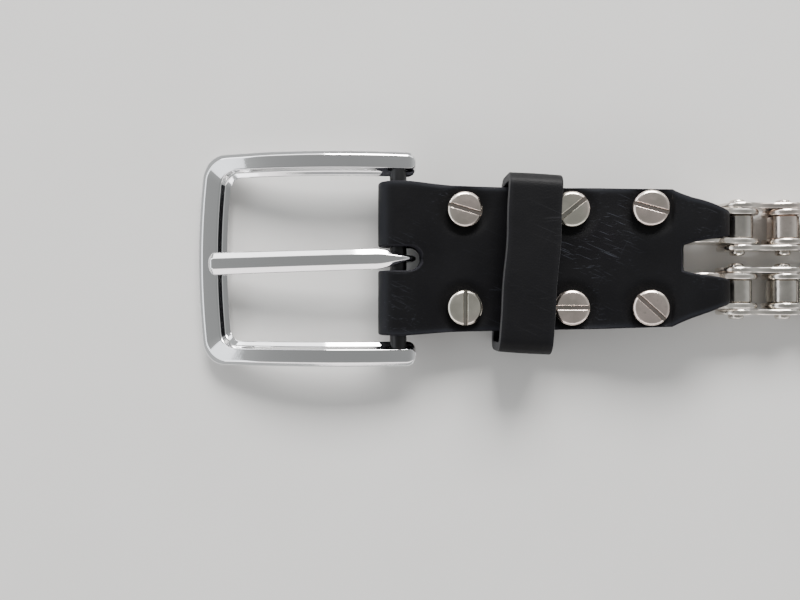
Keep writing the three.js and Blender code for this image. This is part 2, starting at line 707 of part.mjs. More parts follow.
function prongShape() {
  const eye = new THREE.Vector2(0, HEEL_BAR_HEIGHT);
  const barEnds = PRONG_EYE_RADIUS * Math.cos(THREE.MathUtils.degToRad(PRONG_EYE.barEnds));
  const along = steppedThrough(PRONG_TIP_X, barEnds, PRONG_STEP);
  const under = along.map((x) => new THREE.Vector2(x, prongLine(x)));
  const over = along.map((x) => new THREE.Vector2(x, prongLine(x) + PRONG_THICKNESS)).reverse();
  const round = arcPoints(
    eye, PRONG_EYE_RADIUS, PRONG_EYE.under, PRONG_EYE.over, PRONG_EYE.steps);
  const shape = shapeFrom([...under.slice(0, -1), ...round, ...over.slice(1)]);
  const hole = arcPoints(eye, HEEL_BAR_RADIUS + GAP, 0, 360, ROUND_SIDES).slice(0, -1);
  shape.holes.push(new THREE.Path(hole.reverse()));
  return shape;
}

// The bar, with its width going evenly from the tip to the eye
function prongGeometry() {
  const half = PRONG_HALF_WIDTH_TIP;
  const geometry = alongY(prongShape(), -half, half, PRONG_BEVEL);
  const position = geometry.attributes.position;
  for (let i = 0; i < position.count; i += 1) {
    const t = Math.min(1, Math.max(0, (position.getX(i) - PRONG_TIP_X) / -PRONG_TIP_X));
    const scale = 1 + (PRONG_HALF_WIDTH_HEEL / half - 1) * t;
    position.setY(i, position.getY(i) * scale);
  }
  return toGeometry(toSolid(geometry));
}

function roundedRectangle(halfWidth, low, high, radius, PathType) {
  const path = new PathType();
  path.moveTo(-halfWidth + radius, low);
  path.lineTo(halfWidth - radius, low);
  path.absarc(halfWidth - radius, low + radius, radius, -Math.PI / 2, 0, false);
  path.lineTo(halfWidth, high - radius);
  path.absarc(halfWidth - radius, high - radius, radius, 0, Math.PI / 2, false);
  path.lineTo(-halfWidth + radius, high);
  path.absarc(-halfWidth + radius, high - radius, radius, Math.PI / 2, Math.PI, false);
  path.lineTo(-halfWidth, low + radius);
  path.absarc(-halfWidth + radius, low + radius, radius, Math.PI, 1.5 * Math.PI, false);
  return path;
}

function keeperGeometry() {
  const { length, height, wall, corner, width } = KEEPER;
  const shape = roundedRectangle(length / 2, 0, height, corner, THREE.Shape);
  shape.holes.push(
    roundedRectangle(length / 2 - wall, wall, height - wall, corner - wall, THREE.Path));
  const geometry = alongY(shape, -width / 2, width / 2);
  geometry.rotateZ(Math.PI / 2);
  return geometry;
}

function screwHeadGeometry(slot) {
  const rise = LAYER_OFFSET + LEATHER / 2 + GAP;
  const { radius, height, edge } = HEAD;
  const bottom = -LAYER_OFFSET - LEATHER / 2 + POST.boreFloor + 2 * GAP;
  const points = [
    [0, bottom], [SHANK_RADIUS, bottom], [SHANK_RADIUS, rise], [radius, rise],
    [radius, rise + height - edge], [radius - edge, rise + height], [0, rise + height],
  ].map(([x, y]) => new THREE.Vector2(x, y));
  const head = new THREE.LatheGeometry(points, SCREW_SIDES);
  head.rotateX(Math.PI / 2);
  const groove = new THREE.BoxGeometry(2 * (radius + EXTRA), HEAD.slotWidth, 2 * HEAD.slotDepth);
  groove.rotateZ(THREE.MathUtils.degToRad(slot));
  groove.translate(0, 0, rise + height);
  return toGeometry(toSolid(head).subtract(toSolid(groove)));
}

function screwPostGeometry() {
  const half = LAYER_OFFSET + LEATHER / 2;
  const base = -half - GAP;
  const floor = -half + POST.boreFloor;
  const points = [
    [0, base - POST.headHeight], [POST.headRadius, base - POST.headHeight],
    [POST.headRadius, base], [POST.radius, base], [POST.radius, half], [POST.bore, half],
    [POST.bore, floor], [0, floor],
  ].map(([x, y]) => new THREE.Vector2(x, y));
  const post = new THREE.LatheGeometry(points, SCREW_SIDES);
  post.rotateX(Math.PI / 2);
  return toGeometry(toSolid(post));
}

function screwMeshes(screws, mid, originX, prefix) {
  const nickel = () => standard(0xb0a89a, 0.3, 1);
  return screws.flatMap((screw, i) => {
    const { slope, z } = screwSeat(screw, mid);
    const head = new THREE.Mesh(screwHeadGeometry(screw.slot), nickel());
    const post = new THREE.Mesh(screwPostGeometry(), nickel());
    head.name = `${prefix}_screw_${i + 1}`;
    post.name = `${prefix}_screw_post_${i + 1}`;
    [head, post].forEach((mesh) => {
      mesh.position.set(originX + screw.x, screw.side * SCREW_Y, z);
      mesh.rotation.y = -slope;
    });
    return [head, post];
  });
}

function named(geometry, name, material) {
  const mesh = new THREE.Mesh(geometry, material);
  mesh.name = name;
  return mesh;
}

function prongMesh() {
  const prong = named(prongGeometry(), 'prong', standard(0xd8d8da, 0.08, 1));
  prong.rotation.z = THREE.MathUtils.degToRad(PRONG_TURN);
  return prong;
}

function keeperMesh() {
  const keeper = named(keeperGeometry(), 'keeper_loop', standard(0x121216, 0.6, 0));
  keeper.position.set(KEEPER.x, KEEPER.y, 0);
  keeper.rotation.z = -THREE.MathUtils.degToRad(KEEPER.turn);
  return keeper;
}

function buildBelt() {
  const strands = STRANDS.map((strand) => ({ ...strand, pins: pinPositions(strand) }));
  const tailX = strands[0].pins[LINKS].x;
  const belt = new THREE.Group();
  belt.add(
    named(buckleFrameGeometry(), 'buckle_frame', standard(0xd8d8da, 0.08, 1)),
    prongMesh(),
    named(frontStrapGeometry(strands), 'front_strap', standard(0x0d0d12, 0.42, 0)),
    named(tailStrapGeometry(strands), 'tail_strap', standard(0x0d0d12, 0.42, 0)),
    keeperMesh(),
    ...screwMeshes(FRONT_SCREWS, frontMid, 0, 'front'),
    ...screwMeshes(TAIL_SCREWS, tailMid, tailX, 'tail'),
    ...strands.flatMap((strand) => strandMeshes(strand, strand.pins)),
  );
  return belt;
}

// The whole model stands with its box's bottom centre at the origin
function centred(belt) {
  const model = new THREE.Group();
  model.add(belt);
  const box = new THREE.Box3().setFromObject(model, true);
  belt.position.set(-(box.min.x + box.max.x) / 2, 0, -box.min.z);
  return model;
}

export default centred(buildBelt());
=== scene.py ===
"""Chain belt: fine surfaces, finishes, floor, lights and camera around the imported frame.

Shapes are worked out in millimetres with X = 0 on the heel bar's axis, and are moved to the
frame's metres when a mesh is made. X runs along the belt, Y across it and Z up.
"""
import logging
import math
from dataclasses import dataclass, field
from enum import Enum

import bmesh
import bpy
import numpy as np
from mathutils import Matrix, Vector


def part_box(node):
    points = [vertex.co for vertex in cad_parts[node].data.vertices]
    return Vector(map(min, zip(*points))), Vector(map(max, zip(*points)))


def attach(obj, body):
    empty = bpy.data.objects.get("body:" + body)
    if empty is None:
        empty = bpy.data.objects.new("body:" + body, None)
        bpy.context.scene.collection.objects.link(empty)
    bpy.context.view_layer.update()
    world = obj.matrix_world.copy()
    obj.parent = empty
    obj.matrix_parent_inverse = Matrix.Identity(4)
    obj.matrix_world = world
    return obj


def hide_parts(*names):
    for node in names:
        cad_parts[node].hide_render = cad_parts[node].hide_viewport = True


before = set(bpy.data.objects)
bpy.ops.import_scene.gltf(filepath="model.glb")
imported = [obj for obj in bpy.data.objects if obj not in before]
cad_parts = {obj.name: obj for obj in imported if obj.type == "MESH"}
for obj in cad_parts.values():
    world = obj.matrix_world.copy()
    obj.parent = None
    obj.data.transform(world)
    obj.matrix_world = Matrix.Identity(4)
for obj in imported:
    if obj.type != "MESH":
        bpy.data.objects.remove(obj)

Array = np.ndarray
Socket = bpy.types.NodeSocket
Colour = tuple[float, float, float, float]
Triple = tuple[float, float, float]
Span = tuple[float, float]

LOG = logging.getLogger("belt")
MILLIMETRE = 0.001
MERGE_DISTANCE = 1e-6
SMOOTH_ANGLE = math.radians(38)
LEATHER_ANGLE = math.radians(50)
# The most of an edge that a rounded corner and its extra point may take up
ROUNDED_SHARE = 0.38
SUPPORT_SHARE = 0.46
GAP = 0.3
TOE_OUTER_X = -54.6


def heel_bar_x() -> float:
    """Gives the heel bar's X in the frame, in metres."""
    low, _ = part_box("buckle_frame")
    return low[0] - TOE_OUTER_X * MILLIMETRE


class Slot(Enum):
    """The record's material slots."""

    CHROME = "chrome"
    STRAP = "strap_leather"
    KEEPER = "keeper_leather"
    SCREW = "screw_nickel"
    CHAIN = "chain_nickel"


class Body(Enum):
    """The bodies that pieces ride on."""

    BELT = "belt"
    BUCKLE = "buckle"
    PRONG = "prong"


@dataclass
class Surface:
    """Points in millimetres with the faces between them.

    Attributes:
        points: One row of X, Y and Z for each point.
        faces: Arrays of corner indices, each array with its own number of corners.
        marks: Named values, one for each point.
    """

    points: Array
    faces: list[Array]
    marks: dict[str, Array] = field(default_factory=dict)

    def moved(self, turn: Array, shift: Array) -> "Surface":
        """Turns the points, then shifts them.

        Args:
            turn: A 3 by 3 rotation.
            shift: The X, Y and Z to add after the turn.

        Returns:
            A new surface with the same faces.
        """
        return Surface(self.points @ turn.T + shift, self.faces, self.marks)


def joined(surfaces: list[Surface]) -> Surface:
    """Puts several surfaces into one.

    Args:
        surfaces: The surfaces, all with the same marks.

    Returns:
        One surface with all points and faces.
    """
    starts = np.cumsum([0] + [len(s.points) for s in surfaces])
    faces = [f + start for s, start in zip(surfaces, starts) for f in s.faces]
    marks = {name: np.concatenate([s.marks[name] for s in surfaces]) for name in surfaces[0].marks}
    return Surface(np.concatenate([s.points for s in surfaces]), faces, marks)


def grid_faces(rows: int, columns: int, close_rows: bool = False, close_columns: bool = False) -> Array:
    """Makes the quads between neighbours of a grid that is stored row by row.

    Args:
        rows: How many rows the grid has.
        columns: How many points a row has.
        close_rows: Whether the last row joins the first.
        close_columns: Whether the last column joins the first.

    Returns:
        An array with four corner indices for each quad.
    """
    row, column = np.meshgrid(
        np.arange(rows if close_rows else rows - 1),
        np.arange(columns if close_columns else columns - 1),
        indexing="ij",
    )
    next_row = (row + 1) % rows
    next_column = (column + 1) % columns
    corners = [
        row * columns + column,
        next_row * columns + column,
        next_row * columns + next_column,
        row * columns + next_column,
    ]
    return np.stack(corners, axis=-1).reshape(-1, 4)


def tube_surface(rings: Array) -> Surface:
    """Closes a stack of rings into one solid, with a flat face on the first and the last ring.

    Args:
        rings: An array of rings by points by X, Y and Z.

    Returns:
        The closed surface.
    """
    count, around = rings.shape[:2]
    caps = np.stack([np.arange(around)[::-1], np.arange(around) + (count - 1) * around])
    return Surface(rings.reshape(-1, 3), [grid_faces(count, around, close_columns=True), caps])


def lathe_surface(profile: list[tuple[float, float]], sides: int) -> Surface:
    """Turns a profile round the Z axis: x = r cos a, y = r sin a, at the profile's heights.

    Args:
        profile: Rows of radius and height, from one end of the axis to the other.
        sides: How many points a ring has.

    Returns:
        A closed surface, with flat faces at its two ends.
    """
    radius, height = np.array(profile).T
    angle = np.linspace(0, 2 * np.pi, sides, endpoint=False)
    rings = np.stack(
        [
            radius[:, None] * np.cos(angle),
            radius[:, None] * np.sin(angle),
            np.broadcast_to(height[:, None], (len(radius), sides)),
        ],
        axis=-1,
    )
    return tube_surface(rings)


def rounded_corners(corners: Array, radius: float, support: float = 0.1) -> Array:
    """Rounds every corner of closed outlines with a quadratic curve.

    The curve runs between the two points that lie one radius from the corner along its edges,
    and one more point a little further along each edge keeps the flats flat when shaded.

    Args:
        corners: An array of outlines by corners by two coordinates.
        radius: How far along the edges the rounding starts.
        support: How far past the rounding the extra points lie.

    Returns:
        The outlines with six points in place of each corner.
    """
    before = np.roll(corners, 1, axis=-2) - corners
    after = np.roll(corners, -1, axis=-2) - corners
    length_before = np.linalg.norm(before, axis=-1, keepdims=True)
    length_after = np.linalg.norm(after, axis=-1, keepdims=True)
    shorter = np.minimum(length_before, length_after)
    reach = np.minimum(radius, ROUNDED_SHARE * shorter)
    further = np.minimum(reach + support, SUPPORT_SHARE * shorter)
    towards_before = before / length_before
    towards_after = after / length_after
    start = corners + towards_before * reach
    end = corners + towards_after * reach
    curve = [
        (1 - t) ** 2 * start + 2 * t * (1 - t) * corners + t**2 * end for t in (0, 1 / 3, 2 / 3, 1)
    ]
    outer = [corners + towards_before * further, *curve, corners + towards_after * further]
    points = np.stack(outer, axis=-2)
    return points.reshape(*corners.shape[:-2], -1, 2)


def eased(t: Array) -> Array:
    """Goes smoothly from 0 to 1: 3t² - 2t³, with t held between 0 and 1."""
    held = np.clip(t, 0, 1)
    return held * held * (3 - 2 * held)


def directions(angle: Array) -> Array:
    """Gives the unit vector at each angle: its cosine and its sine."""
    return np.stack([np.cos(angle), np.sin(angle)], axis=-1)


def lengths_along(points: Array) -> Array:
    """Gives how far each point lies from the first one, along the line through them."""
    steps = np.linalg.norm(np.diff(points, axis=0), axis=1)
    return np.concatenate([[0], np.cumsum(steps)])


def turn_about_y(angle: float) -> Array:
    """Gives the rotation that lifts +X towards +Z by an angle in radians."""
    c, s = math.cos(angle), math.sin(angle)
    return np.array([[c, 0, -s], [0, 1, 0], [s, 0, c]])


def turn_about_z(angle: float) -> Array:
    """Gives the rotation from +X towards +Y by an angle in radians."""
    c, s = math.cos(angle), math.sin(angle)
    return np.array([[c, -s, 0], [s, c, 0], [0, 0, 1]])


AXIS_Z_TO_Y = np.array([[1, 0, 0], [0, 0, 1], [0, -1, 0]])


class HeightCurve:
    """A height over X: a smooth curve through a short table of rows."""

    SAMPLES = 24

    def __init__(self, rows: tuple[tuple[float, float], ...]) -> None:
        """Samples a centripetal Catmull-Rom curve through the rows.

        Each stretch is a cubic whose end slopes come from its neighbours, weighted by the
        square root of the distance between rows. The ends carry on straight.

        Args:
            rows: X and height, with X increasing.
        """
        points = np.array(rows, dtype=float)
        first = 2 * points[0] - points[1]
        last = 2 * points[-1] - points[-2]
        padded = np.vstack([first, points, last])
        p0, p1, p2, p3 = padded[:-3], padded[1:-2], padded[2:-1], padded[3:]
        t0, t1, t2 = (
            np.sqrt(np.linalg.norm(b - a, axis=1))[:, None] for a, b in ((p0, p1), (p1, p2), (p2, p3))
        )
        slope1 = ((p1 - p0) / t0 - (p2 - p0) / (t0 + t1) + (p2 - p1) / t1) * t1
        slope2 = ((p2 - p1) / t1 - (p3 - p1) / (t1 + t2) + (p3 - p2) / t2) * t1
        t = np.linspace(0, 1, self.SAMPLES, endpoint=False)[None, :, None]
        a, b, c, d = (v[:, None, :] for v in (p1, p2, slope1, slope2))
        curve = (
            a * (2 * t**3 - 3 * t**2 + 1)
            + b * (3 * t**2 - 2 * t**3)
            + c * (t**3 - 2 * t**2 + t)
            + d * (t**3 - t**2)
        )
        samples = np.vstack([curve.reshape(-1, 2), points[-1:]])
        self.x = samples[:, 0]
        self.z = samples[:, 1]

    def __call__(self, x: Array | float) -> Array:
        """Gives the height at X."""
        return np.interp(x, self.x, self.z)

    def slope(self, x: float) -> float:
        """Gives the slope's angle at X, in radians, over 2 mm."""
        return math.atan2(float(self(x + 1) - self(x - 1)), 2)


class NodeGraph:
    """Adds nodes to one material and links them."""

    def __init__(self, name: str) -> None:
        """Makes a material with one Principled shader.

        Args:
            name: The material's name.
        """
        self.material = bpy.data.materials.new(name)
        self.material.use_nodes = True
        self.tree = self.material.node_tree
        self.shader = self.tree.nodes["Principled BSDF"]

    def add(self, kind: str, inputs: dict, **settings: object) -> bpy.types.Node:
        """Adds one node.

        Args:
            kind: The node's type.
            inputs: A value or an output socket for each input's name or number.
            settings: The node's own properties.

        Returns:
            The node.
        """
        node = self.tree.nodes.new(kind)
        for name, value in settings.items():
            setattr(node, name, value)
        for key, value in inputs.items():
            self.put(node.inputs[key], value)
        return node

    def put(self, socket: Socket, value: object) -> None:
        """Sets an input socket to a value, or links an output socket to it.

        Args:
            socket: The input socket.
            value: The value or the output socket.
        """
        if isinstance(value, Socket):
            self.tree.links.new(value, socket)
        else:
            socket.default_value = value

    def shade(self, sockets: dict[str, object]) -> bpy.types.Material:
        """Sets the shader's own sockets.

        Args:
            sockets: A value or an output socket for each of the shader's inputs.

        Returns:
            The finished material.
        """
        for name, value in sockets.items():
            self.put(self.shader.inputs[name], value)
        return self.material

    def place(self, stretch: Triple = (1, 1, 1), turn: float = 0.0) -> Socket:
        """Gives the piece's own coordinates in millimetres.

        Args:
            stretch: How much faster they change along each axis.
            turn: How far those axes are turned in plan, in degrees.

        Returns:
            The coordinates.
        """
        source = self.tree.nodes.get("Place") or self.add("ShaderNodeTexCoord", {})
        source.name = "Place"
        scale = tuple(MILLIMETRE / factor for factor in stretch)
        inputs = {"Vector": source.outputs["Object"], "Scale": scale,
                  "Rotation": (0, 0, math.radians(turn))}
        return self.add("ShaderNodeMapping", inputs, vector_type="TEXTURE").outputs["Vector"]

    def noise(self, scale: float, detail: float, stretch: Triple = (1, 1, 1),
              turn: float = 0.0) -> Socket:
        """Adds a noise pattern.

        Args:
            scale: How many waves it has in a millimetre.
            detail: How many finer octaves it has.
            stretch: How much faster it changes along each axis.
            turn: How far those axes are turned in plan, in degrees.

        Returns:
            The pattern's value.
        """
        return self.add(
            "ShaderNodeTexNoise",
            {"Vector": self.place(stretch, turn), "Scale": scale, "Detail": detail,
             "Roughness": 0.6},
        ).outputs["Fac"]

    def remap(self, value: Socket, source: Span, target: Span) -> Socket:
        """Turns one range of a value into another, held at its ends.

        Args:
            value: The value.
            source: The range that is read.
            target: The range that is given.

        Returns:
            The new value.
        """
        return self.add(
            "ShaderNodeMapRange",
            {0: value, 1: source[0], 2: source[1], 3: target[0], 4: target[1]},
        ).outputs[0]

    def maths(self, operation: str, a: object, b: object) -> Socket:
        """Adds one sum, product or the like of two values."""
        return self.add("ShaderNodeMath", {0: a, 1: b}, operation=operation).outputs[0]

    def mark(self, name: str) -> Socket:
        """Reads a named value of the mesh."""
        return self.add("ShaderNodeAttribute", {}, attribute_name=name).outputs["Fac"]

    def mixed(self, factor: object, first: object, second: object) -> Socket:
        """Mixes two colours."""
        node = self.add("ShaderNodeMix", {0: factor, 6: first, 7: second}, data_type="RGBA")
        return node.outputs[2]

    def bump(self, height: Socket, depth: float, normal: Socket | None = None) -> Socket:
        """Adds relief.

        Args:
            height: The relief's pattern, from 0 to 1.
            depth: The relief's depth in millimetres.
            normal: The relief that this one lies on.

        Returns:
            The normal.
        """
        inputs = {"Height": height, "Distance": depth * MILLIMETRE, "Strength": 1.0}
        if normal is not None:
            inputs["Normal"] = normal
        return self.add("ShaderNodeBump", inputs).outputs["Normal"]


def colour(red: float, green: float, blue: float) -> Colour:
    """Gives a solid colour for a shader socket."""
    return (red, green, blue, 1.0)


def darker(shade: Colour, share: float) -> Colour:
    """Gives a colour with only a share of another one's light."""
    return colour(*(share * light for light in shade[:3]))


@dataclass(frozen=True)
class Chrome:
    """Polished chrome plate with faint hairlines and a little haze, painted darker and rougher as painted
    shade on the heel bar and inside the prong's curl.
    """

    base: Colour = colour(0.86, 0.86, 0.87)
    # The painted shade's colour, and its extra roughness below
    tarnish_and_painted_shade: Colour = colour(0.05, 0.05, 0.052)
    roughness: Span = (0.03, 0.09)
    painted_shade_roughness: float = 0.35
    hairline_depth: float = 0.0015

    def material(self) -> bpy.types.Material:
        """Builds the material.

        Returns:
            The material, which reads the mark of painted shade.
        """
        graph = NodeGraph("chrome_plate")
        painted_shade = graph.mark("painted_shade")
        haze = graph.remap(graph.noise(0.12, 4), (0.35, 0.7), self.roughness)
        hairline = graph.noise(1.4, 2, (0.25, 2.5, 2.5))
        return graph.shade({
            # Painted shade: marked places take a near-black colour and more roughness, as if in shadow
            "Base Color": graph.mixed(painted_shade, self.base, self.tarnish_and_painted_shade),
            "Metallic": 1.0,
            "Roughness": graph.maths(
                "ADD", haze, graph.maths("MULTIPLY", painted_shade, self.painted_shade_roughness)),
            "Normal": graph.bump(hairline, self.hairline_depth),
        })


@dataclass(frozen=True)
class Nickel:
    """Warm grey nickel plate with brush marks, spots and a shift of tint, with painted shade deep in the
    screws' slots.
    """

    name: str
    warm: Colour
    rosy: Colour
    roughness: Span
    brush: float
    shadow: Colour = colour(0.06, 0.055, 0.05)
    spot_strength: float = 0.4
    cloud_strength: float = 0.5
    tarnish: float = 0.6

    def material(self) -> bpy.types.Material:
        """Builds the material.

        Returns:
            The material, which reads the mark of painted shade.
        """
        graph = NodeGraph(self.name)
        tint = graph.remap(graph.noise(0.05, 1), (0.42, 0.58), (0, 1))
        spots = graph.remap(graph.noise(0.9, 5), (0.56, 0.72), (0, self.spot_strength))
        clouds = graph.remap(graph.noise(0.16, 2), (0.4, 0.64), (0, self.cloud_strength))
        clean = graph.mixed(tint, self.warm, self.rosy)
        tarnish_and_painted_shade = darker(self.warm, self.tarnish)
        plate = graph.mixed(graph.maths("MAXIMUM", spots, clouds), clean, tarnish_and_painted_shade)
        return graph.shade({
            # Painted shade: marked places in the screws' slots take the shadow colour
            "Base Color": graph.mixed(graph.mark("painted_shade"), plate, self.shadow),
            "Metallic": 1.0,
            "Roughness": graph.remap(graph.noise(0.5, 4), (0.35, 0.7), self.roughness),
            "Normal": graph.bump(graph.noise(1.2, 3, (0.5, 6, 6)), self.brush),
        })


@dataclass(frozen=True)
class Leather:
    """Black waxed leather: grain, scratches in three directions, pressed rings darkened as painted shade,
    lightening by rubbing with painted highlight over the fold, and cut edges.

    A row of scratches holds their waves in a millimetre, the detail, the stretch, the turn in
    degrees, the range of the pattern in which they show, and their strength.
    """

    name: str
    base: Colour
    worn_and_highlight: Colour
    cut: Colour
    roughness: Span
    grain: float
    scratch: float
    specular: float
    wax: float = 0.02
    wax_roughness: float = 0.15
    scratch_roughness: float = 0.12
    cut_roughness: float = 0.35
    ring_painted_shade_light: float = 0.35
    fibre_depth: float = 0.012
    scratch_depth: float = 0.02
    scratches: tuple = (
        (0.35, 2, (0.22, 8, 8), 4, (0.63, 0.7), 0.8),
        (0.4, 1, (0.16, 9, 3), -24, (0.66, 0.74), 0.9),
        (0.3, 1, (0.2, 9, 3), 62, (0.7, 0.77), 0.3))

    def scratched(self, graph: NodeGraph) -> Socket:
        """Adds the scratches: the strongest of the three rows at each place, in patches.

        Args:
            graph: The material's nodes.

        Returns:
            The share of a full scratch.
        """
        along, oblique, steep = (
            graph.remap(graph.noise(*pattern), shows, (0, strength))
            for *pattern, shows, strength in self.scratches)
        strongest = graph.maths("MAXIMUM", along, graph.maths("MAXIMUM", oblique, steep))
        patches = graph.remap(graph.noise(0.06, 1), (0.44, 0.66), (0.08, 1))
        return graph.maths("MULTIPLY", strongest, patches)

    def material(self) -> bpy.types.Material:
        """Builds the material.

        Returns:
            The material, which reads the marks of the pressed rings' painted shade, of rubbing with painted
            highlight, and of cut edges.
        """
        graph = NodeGraph(self.name)
        press_and_painted_shade, rub_and_painted_highlight, cut = (graph.mark(name) for name in ("press_and_painted_shade", "rub_and_painted_highlight", "cut"))
        pores = graph.add(
            "ShaderNodeTexVoronoi", {"Vector": graph.place(), "Scale": 1.5, "Randomness": 1.0},
            feature="DISTANCE_TO_EDGE",
        ).outputs["Distance"]
        grain = graph.remap(pores, (0.0, 0.22), (0, 1))
        fine = graph.noise(3.2, 5)
        scratches = self.scratched(graph)
        wear_and_highlight = graph.maths("MULTIPLY", graph.maths("MAXIMUM", scratches, rub_and_painted_highlight), self.scratch)
        # Scratches and rubbing lighten the leather; over the front strap's fold the lightening is painted
        # highlight too
        clean = graph.mixed(wear_and_highlight, self.base, self.worn_and_highlight)
        edged = graph.mixed(graph.maths("MULTIPLY", cut, fine), clean, self.cut)
        rough = graph.remap(graph.noise(0.09, 3), (0.35, 0.68), self.roughness)
        for place, more in ((scratches, self.scratch_roughness), (cut, self.cut_roughness)):
            rough = graph.maths("ADD", rough, graph.maths("MULTIPLY", place, more))
        fibre = graph.bump(fine, self.fibre_depth, graph.bump(grain, self.grain))
        return graph.shade({
            # Painted shade: the rings pressed in by the screw heads are darkened
            "Base Color": graph.mixed(press_and_painted_shade, edged, darker(self.base, self.ring_painted_shade_light)),
            "Roughness": rough,
            "Specular IOR Level": self.specular,
            "Coat Weight": self.wax,
            "Coat Roughness": self.wax_roughness,
            "Normal": graph.bump(scratches, self.scratch_depth, fibre),
        })


FINISHES = {
    Slot.CHROME: Chrome(),
    Slot.STRAP: Leather(
        name="strap_black", base=colour(0.002, 0.002, 0.003), worn_and_highlight=colour(0.05, 0.055, 0.07),
        cut=colour(0.03, 0.03, 0.037), roughness=(0.52, 0.66), grain=0.012, scratch=0.6,
        specular=0.17),
    Slot.KEEPER: Leather(
        name="keeper_black", base=colour(0.003, 0.003, 0.004), worn_and_highlight=colour(0.045, 0.045, 0.052),
        cut=colour(0.15, 0.15, 0.155), roughness=(0.5, 0.62), grain=0.02, scratch=0.3,
        specular=0.18),
    Slot.SCREW: Nickel(
        name="screw_plate", warm=colour(0.84, 0.8, 0.7), rosy=colour(0.88, 0.75, 0.69),
        roughness=(0.14, 0.26), brush=0.005),
    Slot.CHAIN: Nickel(
        name="chain_plate", warm=colour(0.76, 0.72, 0.665), rosy=colour(0.79, 0.7, 0.64),
        roughness=(0.12, 0.26), brush=0.004),
}


class Workshop:
    """Makes finished pieces from surfaces, each on its body and in its slot."""

    def __init__(self) -> None:
        """Builds one material for each slot."""
        self.materials = {slot: finish.material() for slot, finish in FINISHES.items()}
        self.heel_x = heel_bar_x()

    def piece(self, name: str, surface: Surface, slot: Slot, body: Body, nodes: list[str],
              sharp: float = SMOOTH_ANGLE) -> bpy.types.Object:
        """Makes one piece that stands for CAD nodes.

        Args:
            name: The piece's name.
            surface: Its shape in the belt's millimetres.
            slot: The record's slot that it takes its finish from.
            body: The body that it rides on.
            nodes: The CAD nodes that it replaces.
            sharp: Edges that turn by more than this angle stay sharp.

        Returns:
            The object, at the origin and unscaled.
        """
        mesh = bpy.data.meshes.new(name)
        points = surface.points * MILLIMETRE + np.array([self.heel_x, 0, 0])
        polygons = [face for faces in surface.faces for face in faces.tolist()]
        mesh.from_pydata(points.tolist(), [], polygons)
        for mark, values in surface.marks.items():
            attribute = mesh.attributes.new(mark, "FLOAT", "POINT")
            attribute.data.foreach_set("value", np.ascontiguousarray(values, dtype=np.float32))
        self.clean(mesh)
        mesh.shade_smooth()
        mesh.set_sharp_from_angle(angle=sharp)
        mesh.materials.append(self.materials[slot])
        piece = bpy.data.objects.new(name, mesh)
        bpy.context.scene.collection.objects.link(piece)
        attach(piece, body.value)
        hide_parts(*nodes)
        LOG.info("%s: %d faces on %s", name, len(mesh.polygons), body.value)
        return piece

    @staticmethod
    def clean(mesh: bpy.types.Mesh) -> None:
        """Joins points that share a place, drops flat slivers and points the faces outwards.

        Args:
            mesh: The mesh, which is changed.
        """
        work = bmesh.new()
        work.from_mesh(mesh)
        bmesh.ops.remove_doubles(work, verts=work.verts, dist=MERGE_DISTANCE)
        bmesh.ops.dissolve_degenerate(work, edges=work.edges, dist=MERGE_DISTANCE)
        bmesh.ops.recalc_face_normals(work, faces=work.faces)
        work.to_mesh(mesh)
        work.free()


